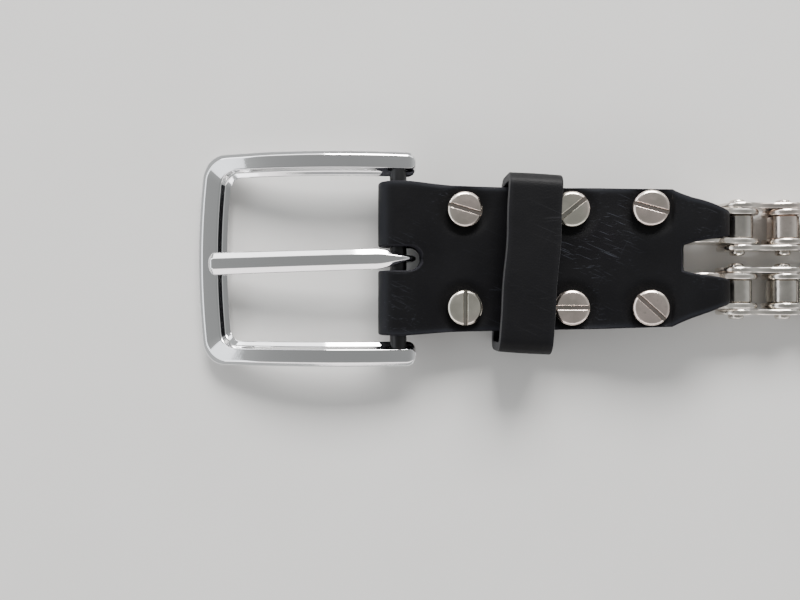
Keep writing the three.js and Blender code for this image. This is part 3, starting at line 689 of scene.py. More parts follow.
@dataclass
class Buckle:
    """The chromed frame with its heel bar, and the prong that turns on the bar.

    Sizes are in millimetres. A row of a frame section is a distance from the outer edge and a
    height over the frame's middle. A row of the prong's section is a share of the half-width
    and a share of the half-thickness.
    """

    outer_y: float = 28.5
    inner_y: float = 21.9
    toe_width: float = 8.0
    outer_corner: float = 6.0
    inner_corner: float = 3.0
    end_x: float = 4.8
    end_corner: float = 2.4
    # The share of its thickness that the frame loses at the arm's end
    end_loss: float = 0.28
    # The shares of half the toe between which rows lie, and how many rows
    toe_rows: tuple = ((0, 0.64, 12), (0.66, 0.9, 22), (0.92, 1, 4))
    # The toe bows out by this much at its corners, and the bow fades along the arms
    toe_bow: float = 1.2
    bow_end_x: float = -34.0
    bow_fade: float = 12.0
    bar_radius: float = 2.25
    bar_height: float = 8.0
    bar_bite: float = 2.0
    toe_mid_x: float = -50.6
    toe_mid_height: float = 3.35
    arch: float = 3.2
    saddle_half: float = 4.2
    saddle_y: float = -1.2
    saddle_slope: float = 1.2
    edge_radius: float = 0.32
    toe_section: tuple = (
        (0, 1.64), (1.2, 1.9), (5.4, 1.15), (6.6, -0.7), (8, -1.3), (7.6, -2.25), (1.4, -2.25), (0, -1))
    arm_section: tuple = (
        (0, 1.15), (1.25, 1.9), (4.55, 2.25), (5.25, 1.15), (6.6, 0.34), (6.1, -2.25), (1.2, -2.25), (0, -1))
    prong_tip_x: float = -50.7
    prong_turn: float = math.radians(1.4)
    prong_rest: float = 5.0
    prong_thickness: float = 2.7
    prong_eye: float = 4.7
    prong_bore: float = 2.55
    prong_half: float = 3.0
    # How much of the half-width goes by the heel, and how much more goes on the eye
    prong_taper: float = 0.3
    prong_eye_taper: float = 1.9
    # How far before the heel the eye's taper starts, and over what length
    prong_eye_taper_at: tuple = (6.0, 9.5)
    prong_eye_blend: float = 9.0
    # Lengths from the tip, and the shares of the width and of the thickness there
    tip_width: tuple = ((0, 0.6, 1.0, 1.5), (0.58, 0.86, 0.96, 1.0))
    tip_thickness: tuple = ((0, 0.25, 0.6, 1.0), (0.62, 0.82, 0.94, 1.0))
    prong_curl_end: float = -183.0
    # How strongly the curl's inside is darkened as painted shade, how far past the heel that starts, and
    # over what length
    curl_painted_shade: tuple = (0.85, 2.2, 1.6)
    prong_edge: float = 0.22
    prong_support: float = 0.06
    prong_section: tuple = (
        (-1, -0.7), (-1, 0.3), (-0.42, 1), (0.42, 1), (1, 0.3), (1, -0.7), (0.8, -1), (-0.8, -1))

    def along(self, x: Array) -> Array:
        """Gives the share of the way from the toe's middle to the heel bar."""
        return (x - self.toe_mid_x) / -self.toe_mid_x

    def middle(self, x: Array) -> Array:
        """Gives the frame's middle height: a straight rise to the heel bar plus an arch.

        Args:
            x: The places along the frame.

        Returns:
            The height at each place.
        """
        t = self.along(x)
        rise = self.bar_height - self.toe_mid_height
        return self.toe_mid_height + rise * t + 4 * self.arch * t * (1 - t)

    def prong_under(self, x: Array | float) -> Array:
        """Gives the height of the prong's underside: a quarter sine up to the eye."""
        top = self.bar_height + self.prong_eye - self.prong_thickness
        return self.prong_rest + (top - self.prong_rest) * np.sin(self.along(x) * np.pi / 2)

    def half_path(self) -> tuple[Array, Array, Array, Array]:
        """Works out the +Y half of the frame from the arm's end to the toe's middle.

        The end is a quarter circle on both edges, then come the straight arm, the corner as
        two arcs of the same angle, and the toe, with more rows at the saddle's sides.

        Returns:
            The outer and the inner edge in plan, the share of the toe's section, and the
            thickness as a share of the full one.
        """
        a = np.radians(np.linspace(90, 0, 8))
        t = np.linspace(0, 1, 44)[1:-1]
        b = np.radians(np.linspace(90, 180, 18))
        f = np.concatenate([np.linspace(*stretch) for stretch in self.toe_rows])[1:]
        straight = self.end_x - self.end_corner

        def edge(side_y: float, sign: int, corner: float, toe_x: float) -> Array:
            """Lays out one edge.

            Args:
                side_y: The edge's Y along the arm.
                sign: +1 where the arm's end rounds towards -Y, else -1.
                corner: The corner's radius.
                toe_x: The edge's X along the toe.

            Returns:
                X and Y of each row.
            """
            centre = np.array([toe_x + corner, side_y - corner])
            end = np.stack([
                self.end_x - self.end_corner * (1 - np.sin(a)),
                side_y - sign * self.end_corner * (1 - np.cos(a))], axis=-1)
            arm = np.stack([straight + (centre[0] - straight) * t, side_y + 0 * t], axis=-1)
            toe = np.stack([toe_x + 0 * f, centre[1] * (1 - f)], axis=-1)
            return np.concatenate([end, arm, centre + corner * directions(b), toe])

        outer = edge(self.outer_y, 1, self.outer_corner, TOE_OUTER_X)
        inner = edge(self.inner_y, -1, self.inner_corner, TOE_OUTER_X + self.toe_width)
        share = np.concatenate([0 * a, 0 * t, eased(np.linspace(0, 1, len(b))), 1 + 0 * f])
        thick = np.ones(len(share))
        thick[: len(a)] -= self.end_loss * np.sin(a) ** 4
        return outer, inner, share, thick

    def frame_surface(self) -> Surface:
        """Carries the section round the frame.

        A section point lies between the outer and the inner edge by its share of the width,
        at the frame's middle height plus its own. The toe bows out by the square of Y, and
        the top dips to the saddle's floor under the prong.

        Returns:
            The frame as one closed surface.
        """
        outer, inner, share, thick = self.half_path()
        mirror = np.array([1, -1])
        outer = np.concatenate([outer, outer[-2::-1] * mirror])
        inner = np.concatenate([inner, inner[-2::-1] * mirror])
        share = np.concatenate([share, share[-2::-1]])[:, None]
        thick = np.concatenate([thick, thick[-2::-1]])[:, None]
        toe = np.array(self.toe_section)
        arm = np.array(self.arm_section)
        width = np.linalg.norm(inner - outer, axis=1)[:, None]
        arm_width = self.outer_y - self.inner_y
        across = arm[:, 0] / arm_width * (1 - share) + toe[:, 0] / self.toe_width * share
        up = (arm[:, 1] * (1 - share) + toe[:, 1] * share) * thick
        section = rounded_corners(np.stack([across * width, up], axis=-1), self.edge_radius)
        part = section[..., 0] / width
        plan = outer[:, None, :] + (inner - outer)[:, None, :] * part[..., None]
        x, y = plan[..., 0], plan[..., 1]
        z = self.middle(x) + section[..., 1]
        floor = np.minimum(z, self.prong_under(x) - GAP)
        beside = np.abs(y - self.saddle_y) - self.saddle_half
        z = z + (floor - z) * eased((self.saddle_slope / 2 - beside) / self.saddle_slope)
        reach = self.outer_y - self.outer_corner
        bow = self.toe_bow * np.clip(np.abs(y) / reach, 0, 1.1) ** 2
        x = x + bow * eased((self.bow_end_x - x) / self.bow_fade)
        surface = tube_surface(np.stack([x, y, z], axis=-1))
        surface.marks["painted_shade"] = np.zeros(len(surface.points))
        return surface

    def bar_surface(self) -> Surface:
        """Makes the heel bar: a round bar from arm to arm.

        Returns:
            The bar as one closed surface.
        """
        reach = self.inner_y + self.bar_bite
        bar = lathe_surface([(self.bar_radius, end) for end in (-reach, 0, reach)], 32)
        # Painted shade over the whole heel bar, which lies under the leather's fold
        bar.marks["painted_shade"] = np.ones(len(bar.points))
        return bar.moved(AXIS_Z_TO_Y, np.array([0, 0, self.bar_height]))

    def prong_surface(self) -> Surface:
        """Carries the prong's section from its tip over the heel bar and round it.

        The middle line follows the underside plus half the thickness, and then the circle
        halfway between bore and eye. Width and thickness shrink at the tip and on the eye.
        The whole prong is turned a little in plan.

        Returns:
            The prong as one closed surface.
        """
        radius = (self.prong_bore + self.prong_eye) / 2
        tip = np.union1d(self.tip_width[0], self.tip_thickness[0])
        x = np.concatenate([self.prong_tip_x + tip, np.linspace(self.prong_tip_x + 2.5, 0, 60)])
        settle = eased((x + self.prong_eye_blend) / self.prong_eye_blend)
        wall = self.prong_eye - self.prong_bore
        thickness = self.prong_thickness + (wall - self.prong_thickness) * settle
        lift = self.bar_height + radius - self.prong_under(0) - self.prong_thickness / 2
        z = self.prong_under(x) + self.prong_thickness / 2 + lift * settle
        angle = np.radians(np.linspace(90, self.prong_curl_end, 52)[1:])
        ring = np.array([0, self.bar_height]) + radius * directions(angle)
        line = np.concatenate([np.stack([x, z], axis=-1), ring])
        thickness = np.concatenate([thickness, np.full(len(angle), thickness[-1])])
        length = lengths_along(line)
        heel = length[len(x) - 1]
        taper_before, taper_over = self.prong_eye_taper_at
        half = self.prong_half - self.prong_taper * np.clip(length / heel, 0, 1)
        half = half - self.prong_eye_taper * eased((length - heel + taper_before) / taper_over)
        blunt = np.interp(length, *self.tip_width)
        flat = np.interp(length, *self.tip_thickness)
        tangent = np.gradient(line, axis=0)
        tangent /= np.linalg.norm(tangent, axis=1, keepdims=True)
        normal = np.stack([-tangent[:, 1], tangent[:, 0]], axis=-1)
        share = np.array(self.prong_section)
        across = share[:, 0] * (half * blunt)[:, None]
        up = share[:, 1] * (thickness / 2 * flat)[:, None]
        section = rounded_corners(
            np.stack([across, up], axis=-1), self.prong_edge, self.prong_support)
        centre = line[:, None, :] + normal[:, None, :] * section[..., 1:]
        rings = np.stack([centre[..., 0], section[..., 0], centre[..., 1]], axis=-1)
        prong = tube_surface(rings).moved(turn_about_z(self.prong_turn), np.zeros(3))
        # Painted shade inside the curl that wraps round the heel bar
        tarnish_and_painted_shade, dull_from, dull_over = self.curl_painted_shade
        painted_shade = tarnish_and_painted_shade * eased((length - heel - dull_from) / dull_over)
        prong.marks["painted_shade"] = np.repeat(painted_shade, rings.shape[1])
        return prong

    def build(self, shop: Workshop) -> None:
        """Makes the frame and the prong.

        Args:
            shop: Makes the pieces.
        """
        frame_and_bar = joined([self.frame_surface(), self.bar_surface()])
        shop.piece("buckle_frame_chrome", frame_and_bar, Slot.CHROME, Body.BUCKLE, ["buckle_frame"])
        shop.piece("prong_chrome", self.prong_surface(), Slot.CHROME, Body.PRONG, ["prong"])


class SheetLine:
    """The middle line of a leather sheet in the side view, with places counted along it."""

    def __init__(self, points: Array, step: float = 0.25) -> None:
        """Resamples the line evenly and works out its normals.

        Args:
            points: X and Z along the line.
            step: The distance between samples.
        """
        lengths = lengths_along(points)
        self.total = float(lengths[-1])
        self.s = np.linspace(0, self.total, int(self.total / step) + 1)
        self.x = np.interp(self.s, lengths, points[:, 0])
        self.z = np.interp(self.s, lengths, points[:, 1])
        window = np.hanning(9)[1:-1]
        reach = len(window) // 2
        tangent = np.gradient(np.stack([self.x, self.z], axis=-1), axis=0)
        padded = np.pad(tangent, ((reach, reach), (0, 0)), mode="edge")
        smooth = np.stack([np.convolve(padded[:, k], window, "valid") for k in (0, 1)], axis=-1)
        smooth /= np.linalg.norm(smooth, axis=1, keepdims=True)
        self.normal_x = -smooth[:, 1]
        self.normal_z = smooth[:, 0]

    def at(self, s: Array, y: Array, lift: Array | float) -> Array:
        """Places sheet coordinates in space.

        Args:
            s: Places along the line.
            y: Places across the strap.
            lift: Distances from the middle line along its normal.

        Returns:
            X, Y and Z.
        """
        x = np.interp(s, self.s, self.x) + lift * np.interp(s, self.s, self.normal_x)
        z = np.interp(s, self.s, self.z) + lift * np.interp(s, self.s, self.normal_z)
        return np.stack([x, y, z], axis=-1)

    def crossings(self, x_values: list[float]) -> Array:
        """Finds where the line passes the given X values.

        Args:
            x_values: The X values.

        Returns:
            The places along the line, for one X value after another.
        """
        found = []
        for value in x_values:
            side = np.sign(self.x - value)
            index = np.nonzero(side[:-1] * side[1:] < 0)[0]
            part = (value - self.x[index]) / (self.x[index + 1] - self.x[index])
            found.append(self.s[index] + part * (self.s[index + 1] - self.s[index]))
        return np.concatenate(found)


def bezier(p: Array, q: Array, leave: Array, arrive: Array, count: int = 24) -> Array:
    """Makes a cubic curve that leaves p along one direction and reaches q along another.

    Args:
        p: The first point.
        q: The last point.
        leave: The unit direction at p.
        arrive: The unit direction at q.
        count: How many points it has.

    Returns:
        The points.
    """
    reach = np.linalg.norm(q - p) / 3
    t = np.linspace(0, 1, count)[:, None]
    a, b = p + leave * reach, q - arrive * reach
    return (1 - t) ** 3 * p + 3 * t * (1 - t) ** 2 * a + 3 * t**2 * (1 - t) * b + t**3 * q


@dataclass
class Strap:
    """What the front strap and the tail strap share. Sizes are in millimetres."""

    leather: float = 2.8
    offset: float = 1.55
    wrap_radius: float = 5.59
    tangent: float = math.radians(125)
    edge_radius: float = 0.55
    row_step: float = 0.9
    row_gap: float = 0.02
    # Half of the notch between the tabs, by distance past the roller's axis
    notch_past: tuple = (-5.8, -5.77, -5.7, -5.6, -4.0, -1.0, 1.5, 5.0, 8.0)
    notch_half: tuple = (0.0, 1.6, 2.6, 3.3, 3.9, 4.5, 4.95, 5.65, 5.65)
    screw_y: float = 12.9
    # How deep a screw head presses the leather, where that ends, and how wide its slope is
    press_depth: float = 0.45
    press_radius: float = 7.6
    press_slope: float = 2.6
    # How strongly the ring pressed in round a screw head is darkened as painted shade
    ring_painted_shade_strength: float = 0.75
    rub_width: float = 1.1
    rub_strength: float = 0.35

    def wrap_line(self, pin: Array, meet: Array, slope: float, outward: int) -> Array:
        """Works out the wrap round a roller.

        A curve rises from the upper layer to the circle round the roller, which it leaves on
        the lower side by a mirror of that curve.

        Args:
            pin: The roller's axis in the side view.
            meet: The strap's middle where its two layers part.
            slope: The strap's slope there, towards the roller, in radians.
            outward: +1 where the roller lies on the +X side of the strap, else -1.

        Returns:
            The points, from the upper layer round to the lower one.
        """
        flip = np.array([outward, 1])
        arc = pin + flip * self.wrap_radius * directions(np.linspace(self.tangent, -self.tangent, 60))
        towards = flip * np.array([math.cos(slope), math.sin(slope)])
        up = self.tangent - math.pi / 2
        rising = flip * np.array([math.cos(up), math.sin(up)])
        falling = np.array([-rising[0], rising[1]])
        top = meet + np.array([0, self.offset])
        bottom = meet - np.array([0, self.offset])
        upper = bezier(top, arc[0], towards, rising)
        lower = bezier(arc[-1], bottom, falling, -towards)
        return np.concatenate([upper[:-1], arc, lower[1:]])

    def columns(self) -> Array:
        """Gives the columns of one half as shares of the way from the inner to the outer edge."""
        return np.linspace(0, 1, 24)

    def spread(self, inner: Array, outer: Array) -> Array:
        """Lays the columns between the edges.

        Args:
            inner: The inner edge's Y of each row.
            outer: The outer edge's Y of each row.

        Returns:
            Y by row and column.
        """
        return inner[:, None] + (outer - inner)[:, None] * self.columns()[None, :]

    def even_rows(self, line: SheetLine) -> Array:
        """Gives evenly spaced places along the sheet."""
        return np.linspace(0, line.total, int(line.total / self.row_step))

    def merged_rows(self, even: Array, places: Array) -> Array:
        """Puts even rows and chosen places in order, without a row too close to the one before.

        Args:
            even: The evenly spaced places.
            places: The places where the outline turns.

        Returns:
            The rows' places along the line.
        """
        rows = np.unique(np.round(np.concatenate([even, places]), 3))
        return rows[np.concatenate([[True], np.diff(rows) > self.row_gap])]

    def half_sheet(self, line: SheetLine, rows: Array, inner: Array, outer: Array,
                   top: Array, marks: dict[str, Array], keep: Array | None = None) -> Surface:
        """Makes the +Y half of a sheet with its thickness and rounded cut edges.

        A row's section runs over the top from the inner to the outer edge, round the edge by
        a half-round of the edge radius, back under the sheet and round the inner edge. The
        rounding draws back along the outline's own normal, in the sheet's plane.

        Args:
            line: The sheet's middle line.
            rows: Places of the rows along the line.
            inner: The inner edge's Y of each row, 0 where the halves join.
            outer: The outer edge's Y of each row.
            top: How much the top is pressed in, by row and column.
            marks: Named values of the top, by row and column.
            keep: Which quads of the top and of the bottom stay, where a hole leaves some out.

        Returns:
            The half, open at Y = 0.
        """
        half = self.leather / 2
        count = len(self.columns())
        steps = np.radians(np.array([90, 60, 30, 0, -30, -60, -90]))
        draw = self.edge_radius * (1 - np.cos(steps))
        rise = (half - self.edge_radius) * np.sign(np.round(np.sin(steps), 6)) + (
            self.edge_radius * np.sin(steps))

        def edge(side: Array, sign: int, soft: Array) -> tuple[Array, Array]:
            """Draws an edge back along its normal in the sheet's plane.

            Args:
                side: The edge's Y of each row.
                sign: +1 for the outer edge, -1 for the inner one.
                soft: The share of the rounding that each row has.

            Returns:
                The places along the line and across it, by row and step.
            """
            slope = np.gradient(side) / np.maximum(np.gradient(rows), 1e-6)
            size = np.sqrt(1 + slope**2)
            s = rows[:, None] + sign * (slope / size)[:, None] * draw * soft[:, None]
            y = side[:, None] - sign * (1 / size)[:, None] * draw * soft[:, None]
            return s, y

        outer_s, outer_y = edge(outer, 1, np.clip(outer / 2.0, 0, 1))
        inner_s, inner_y = edge(inner, -1, np.clip(inner, 0, 1))
        flat_y = self.spread(inner_y[:, 0], outer_y[:, 0])
        flat_s = inner_s[:, :1] + (outer_s[:, :1] - inner_s[:, :1]) * self.columns()[None, :]
        upper = line.at(flat_s, flat_y, half - top)
        lower = line.at(flat_s, flat_y, -half)
        rim = line.at(outer_s[:, 1:-1], outer_y[:, 1:-1], rise[1:-1])
        well = line.at(inner_s[:, 1:-1], inner_y[:, 1:-1], rise[1:-1])
        points = np.concatenate([upper, rim, lower[:, ::-1], well[:, ::-1]], axis=1)
        around = points.shape[1]
        quads = grid_faces(len(rows), around, close_columns=True).reshape(len(rows) - 1, around, 4)
        rims = len(steps) - 2
        stays = np.ones((len(rows) - 1, around), dtype=bool)
        shut = (inner[:-1] <= 0) & (inner[1:] <= 0)
        stays[:, 2 * count + rims - 1:] = ~shut[:, None]
        if keep is not None:
            stays[:, : count - 1] &= keep
            stays[:, count + rims: 2 * count + rims - 1] &= keep[:, ::-1]
        faces = [quads[stays]]
        for row in (0, len(rows) - 1):
            base = row * around
            a = base + np.arange(count - 1)
            b = base + 2 * count + rims - 1 - np.arange(count - 1)
            faces.append(np.stack([a, a + 1, b - 1, b], axis=-1))
            faces.append(base + np.arange(count - 1, count + rims + 1)[None, :])
            if inner[row] > 0:
                tail = base + np.arange(2 * count + rims - 1, around)
                faces.append(np.concatenate([tail, [base]])[None, :])
        values = {}
        for name, value in marks.items():
            rim_value = np.full((len(rows), rims), 1.0 if name == "cut" else 0.0)
            values[name] = np.concatenate(
                [value, rim_value, 0 * value, rim_value], axis=1).reshape(-1)
        return Surface(points.reshape(-1, 3), faces, values)

    def screw_press(self, x: Array, y: Array, places: list[float]) -> Array:
        """Works out how deep the leather is pressed under the screw heads of one side.

        Full depth under the head, easing out to nothing at the press's radius from its axis.

        Args:
            x: X by row and column.
            y: Y by row and column.
            places: The screws' X.

        Returns:
            The share of the full depth.
        """
        press_and_painted_shade = np.zeros_like(y)
        for place in places:
            distance = np.hypot(x - place, y - self.screw_y)
            press_and_painted_shade = np.maximum(press_and_painted_shade, eased((self.press_radius - distance) / self.press_slope))
        return press_and_painted_shade

    def relief(self, x: Array, y: Array) -> Array:
        """Gives how far the top lies low away from the screws: nowhere on a flat strap."""
        return np.zeros_like(y)

    def rubbed_and_highlit(self, x: Array, y: Array, outer: Array) -> Array:
        """Marks where the leather is lightened by rubbing: along its edges."""
        return self.rub_strength * eased(y - outer + self.rub_width)

    def sheet(self, line: SheetLine, rows: Array, inner: Array, outer: Array, over: Array,
              screws: tuple, keep: Array | None = None) -> Surface:
        """Makes a whole sheet from its halves, pressed in under the screws with painted shade in the pressed
        rings, and marked where rubbing and painted highlight lighten it.

        Args:
            line: The sheet's middle line.
            rows: Places of the rows along the line.
            inner: The inner edge's Y of each row, 0 where the halves join.
            outer: The outer edge's Y of each row.
            over: Which rows belong to the upper layer.
            screws: Rows of X, side and the slot's turn.
            keep: Which quads of the top and of the bottom stay, where a hole leaves some out.

        Returns:
            The sheet, closed except round its holes.
        """
        y = self.spread(inner, outer)
        x = np.broadcast_to(np.interp(rows, line.s, line.x)[:, None], y.shape)
        halves = []
        for side in (1, -1):
            places = [place for place, screw_side, _ in screws if screw_side == side]
            # The share that presses the top in also darkens the ring there as painted shade
            press_and_painted_shade = self.screw_press(x, y, places) * over[:, None]
            top = self.relief(x, side * y) * over[:, None] + self.press_depth * press_and_painted_shade
            rub_and_painted_highlight = self.rubbed_and_highlit(x, y, outer[:, None])
            halves.append(self.half_sheet(
                line, rows, inner, outer, top,
                {"press_and_painted_shade": self.ring_painted_shade_strength * press_and_painted_shade, "rub_and_painted_highlight": rub_and_painted_highlight, "cut": 0 * press_and_painted_shade}, keep))
        return mirrored(*halves)


def mirrored(north: Surface, south: Surface) -> Surface:
    """Joins the +Y half with the mirror image of one that was worked out at +Y too."""
    flipped = Surface(south.points * np.array([1, -1, 1]), south.faces, south.marks)
    return joined([north, flipped])


FRONT_SCREWS = ((17.2, 1, -16), (17.2, -1, 90), (46, 1, 39), (46, -1, 0), (66, 1, -17), (66, -1, -43))
TAIL_SCREWS = ((18, 1, 25), (18, -1, -60), (38, 1, 70), (38, -1, 10))


@dataclass
class FrontStrap(Strap):
    """The strap that is folded round the heel bar and wrapped round the first rollers."""

    fold_radius: float = 3.95
    bar_height: float = 8.0
    settles: float = 13.0
    under_end: float = 52.5
    tab_end: float = 60.0
    meet_x: float = 70.6
    pin: tuple = (79.5, 10.5)
    slot_half: float = 3.15
    slot_end: float = 6.0
    # Where the upper layer starts to be uneven
    uneven_from: float = 3.0
    unevenness: float = 0.05
    # Between which X the fold is lightened by rubbing and painted highlight, how soft the ends of that are,
    # and how strongly
    fold_rub_and_highlight: tuple = (-4.3, -1.5, 1.2, 0.3)
    half_x: tuple = (-5.4, -5.1, -4.6, -3.9, -3.4, 2, 14, 53, 71.5, 75.5, 81.5, 84.5, 85.3, 90)
    half_y: tuple = (
        18.2, 19.1, 19.75, 20.12, 20.2, 20.2, 19.4, 18.6, 17.9, 15.6, 12.9, 11.95, 11.45, 11.45)
    heights: tuple = (
        (0, 8), (8, 7.7), (17, 6.9), (26, 6.1), (34, 5.8), (46, 7.1), (56, 8.2), (66, 9.6), (70.6, 10.3))

    def __post_init__(self) -> None:
        """Sets up the strap's middle height."""
        self.middle = HeightCurve(self.heights)

    def layer(self, x: Array, side: int) -> Array:
        """Follows one layer, whose distance from the middle eases down behind the fold.

        Args:
            x: The places along the strap.
            side: +1 for the upper layer, -1 for the under layer.

        Returns:
            X and Z along the layer.
        """
        reach = self.fold_radius + (self.offset - self.fold_radius) * eased(x / self.settles)
        return np.stack([x, self.middle(x) + side * reach], axis=-1)

    def sheet_line(self) -> SheetLine:
        """Follows the sheet: under layer, fold, upper layer, wrap and the tab's return.

        Returns:
            The sheet's middle line.
        """
        under = self.layer(np.linspace(self.under_end, 0, 106), -1)
        angle = np.radians(np.linspace(270, 90, 60))
        fold = np.array([0, self.bar_height]) + self.fold_radius * directions(angle)
        over = self.layer(np.linspace(0, self.meet_x, 142), 1)
        meet = np.array([self.meet_x, float(self.middle(self.meet_x))])
        slope = math.atan2(meet[1] - float(self.middle(self.meet_x - 2)), 2)
        wrap = self.wrap_line(np.array(self.pin), meet, slope, 1)
        back_x = np.linspace(self.meet_x, self.tab_end, 22)
        back = np.stack([back_x, self.middle(back_x) - self.offset], axis=-1)
        return SheetLine(np.concatenate([under, fold[1:-1], over, wrap[1:-1], back]))

    def build(self, shop: Workshop) -> None:
        """Makes the strap as one piece.

        Args:
            shop: Makes the piece.
        """
        line = self.sheet_line()
        LOG.info("front strap: %.1f mm of leather, laid flat", line.total)
        slot_centre = self.slot_end - self.slot_half
        slot_x = slot_centre + self.slot_half * np.cos(np.radians(np.arange(0, 91, 10))) - 1e-4
        notch_x = [self.pin[0] + past for past in self.notch_past]
        places = line.crossings([*slot_x, *notch_x, *self.half_x])
        rows = self.merged_rows(self.even_rows(line), places)
        x = np.interp(rows, line.s, line.x)
        into_round = np.clip(x - slot_centre, 0, None)
        slot = np.sqrt(np.clip(self.slot_half**2 - into_round**2, 0, None))
        notch = np.interp(x - self.pin[0], self.notch_past, self.notch_half)
        inner = np.where(x < self.slot_end, slot, notch)
        outer = np.interp(x, self.half_x, self.half_y)
        z = np.interp(rows, line.s, line.z)
        over = (z > self.middle(np.clip(x, 0, self.meet_x))) & (x > self.uneven_from)
        sheet = self.sheet(line, rows, inner, outer, over, FRONT_SCREWS)
        shop.piece("front_strap_leather", sheet, Slot.STRAP, Body.BELT, ["front_strap"], LEATHER_ANGLE)

    def relief(self, x: Array, y: Array) -> Array:
        """Gives how far the top lies low away from the screws: a few long waves."""
        waves = np.sin(0.31 * x + 0.12 * y) + np.sin(0.17 * x - 0.26 * y + 1) + np.sin(0.4 * y + 2)
        return self.unevenness * waves

    def rubbed_and_highlit(self, x: Array, y: Array, outer: Array) -> Array:
        """Marks where the leather is lightened: by rubbing along its edges, and over the fold by rubbing and
        painted highlight.

        Args:
            x: X by row and column.
            y: Y by row and column.
            outer: The outer edge's Y of each row.

        Returns:
            The share of full lightening by rubbing and painted highlight.
        """
        start, end, soft, strength = self.fold_rub_and_highlight
        # Painted highlight and rubbing: a lighter band over the fold
        fold = eased((end - x) / soft) * eased((x - start) / soft)
        return np.maximum(super().rubbed_and_highlit(x, y, outer), strength * fold)


@dataclass
class TailStrap(Strap):
    """The strap at the chain's far end, with its holes and its pointed tip.

    Its X is counted from the last roller's axis.
    """

    start_x: float = 700.8
    pin_height: float = 7.3
    meet_x: float = 9.5
    doubled_end: float = 47.0
    flat_from: float = 68.0
    length: float = 200.0
    tip_radius: float = 7.0
    tip_arc: float = math.radians(58)
    hole_radius: float = 3.25
    hole_first: float = 75.0
    hole_spacing: float = 25.0
    hole_count: int = 5
    # Share of the way from the patch's square to the hole, distance outside it, and depth
    hole_rows: tuple = (
        (0.0, 0.0, 0.0), (0.5, 0.6, 0.0), (1.0, 0.4, 0.02), (1.0, 0.12, 0.14), (1.0, 0.0, 0.45))
    # How strongly the hole's wall is marked as cut and as rubbed
    hole_cut: float = 0.9
    hole_rub: float = 0.36
    patch_half: float = 5.0
    patch_margin: float = 0.3
    patch_steps: int = 8
    full_half: float = 18.5
    shoulder_x: tuple = (-5.8, -5.0, -2.0, 4.0, 8.0)
    shoulder_y: tuple = (11.45, 11.95, 12.9, 15.6, 18.5)
    # Where the straight sides start to taper, by distance from the tip, and the half-widths
    taper_back: tuple = (26.0, 21.0)
    taper_y: tuple = (18.5, 17.1)
    column_y: tuple = (0, 1.25, 2.5, 3.75, 5, 6, 7, 8, 9, 10, 11, 12, 13, 14, 15, 16, 17, 17.8, 18.5)
    tip_squeeze: float = 8.0
    # Half of the width that is left at the very tip
    tip_least: float = 0.02
    heights: tuple = ((9.5, 6.5), (16, 5.6), (26, 4.6), (38, 4.5), (47, 4.5))
    single_heights: tuple = ((47, 6.05), (51, 5.2), (60, 1.9), (66, 1.4), (200, 1.4))

    def __post_init__(self) -> None:
        """Sets up the heights of the doubled and of the single stretch."""
        self.middle = HeightCurve(self.heights)
        self.single = HeightCurve(self.single_heights)

    def columns(self) -> Array:
        """Gives the columns as shares of the full half-width, with the holes' patch lines."""
        return np.array(self.column_y) / self.full_half

    def spread(self, inner: Array, outer: Array) -> Array:
        """Lays the columns out: the patch lines keep their Y until the strap narrows to the tip.

        Args:
            inner: The inner edge's Y of each row.
            outer: The outer edge's Y of each row.

        Returns:
            Y by row and column.
        """
        column = np.array(self.column_y)[None, :]
        patch = self.patch_half
        inside = patch * np.minimum(1, outer / self.tip_squeeze)[:, None]
        near = column / patch * inside
        far = inside + (column - patch) / (self.full_half - patch) * (outer[:, None] - inside)
        whole = np.where(column <= patch, near, far)
        return np.where(inner[:, None] > 0, super().spread(inner, outer), whole)

    def sheet_line(self) -> SheetLine:
        """Follows the sheet: under layer, wrap round the roller, upper layer and single end.

        Returns:
            The sheet's middle line, with the single end never lower than flat on the floor.
        """
        meet = np.array([self.meet_x, float(self.middle(self.meet_x))])
        slope = math.atan2(meet[1] - float(self.middle(self.meet_x + 2)), 2)
        under_x = np.linspace(self.doubled_end, self.meet_x, 76)
        under = np.stack([under_x, self.middle(under_x) - self.offset], axis=-1)
        wrap = self.wrap_line(np.array([0, self.pin_height]), meet, slope, -1)[::-1]
        over_x = under_x[::-1]
        over = np.stack([over_x, self.middle(over_x) + self.offset], axis=-1)
        slide_x = np.linspace(self.doubled_end, self.flat_from, 60)[1:]
        slide = np.stack([slide_x, np.maximum(self.single(slide_x), self.leather / 2)], axis=-1)
        end = np.array([[self.length, self.leather / 2]])
        return SheetLine(np.concatenate([under, wrap[1:-1], over, slide, end]))

    def taper_x(self) -> list[float]:
        """Gives where the straight sides start to taper."""
        return [self.length - back for back in self.taper_back]

    def tip_x(self, angle: Array | float) -> Array | float:
        """Gives the X of the round tip's edge at an angle from the strap's direction."""
        return self.length - self.tip_radius * (1 - np.cos(angle))

    def outer_edge(self, x: Array) -> Array:
        """Gives the outer edge's Y: tab, shoulder, straight side, taper and round tip.

        Args:
            x: The rows' X.

        Returns:
            Y of each row.
        """
        tip_start = self.tip_x(self.tip_arc)
        side_x = [*self.shoulder_x, *self.taper_x(), tip_start]
        side_y = [*self.shoulder_y, *self.taper_y, self.tip_radius * math.sin(self.tip_arc)]
        past = np.clip(x - (self.length - self.tip_radius), 0, self.tip_radius)
        arc = np.sqrt(np.clip(self.tip_radius**2 - past**2, self.tip_least**2, None))
        return np.where(x < tip_start, np.interp(x, side_x, side_y), arc)

    def holes(self) -> Array:
        """Gives the holes' X."""
        return self.hole_first + self.hole_spacing * np.arange(self.hole_count)

    def by_hole(self, x: Array, reach: float) -> Array:
        """Tells which places are nearer to a hole's middle than a reach."""
        return (np.abs(x[:, None] - self.holes()[None, :]) < reach).any(axis=1)

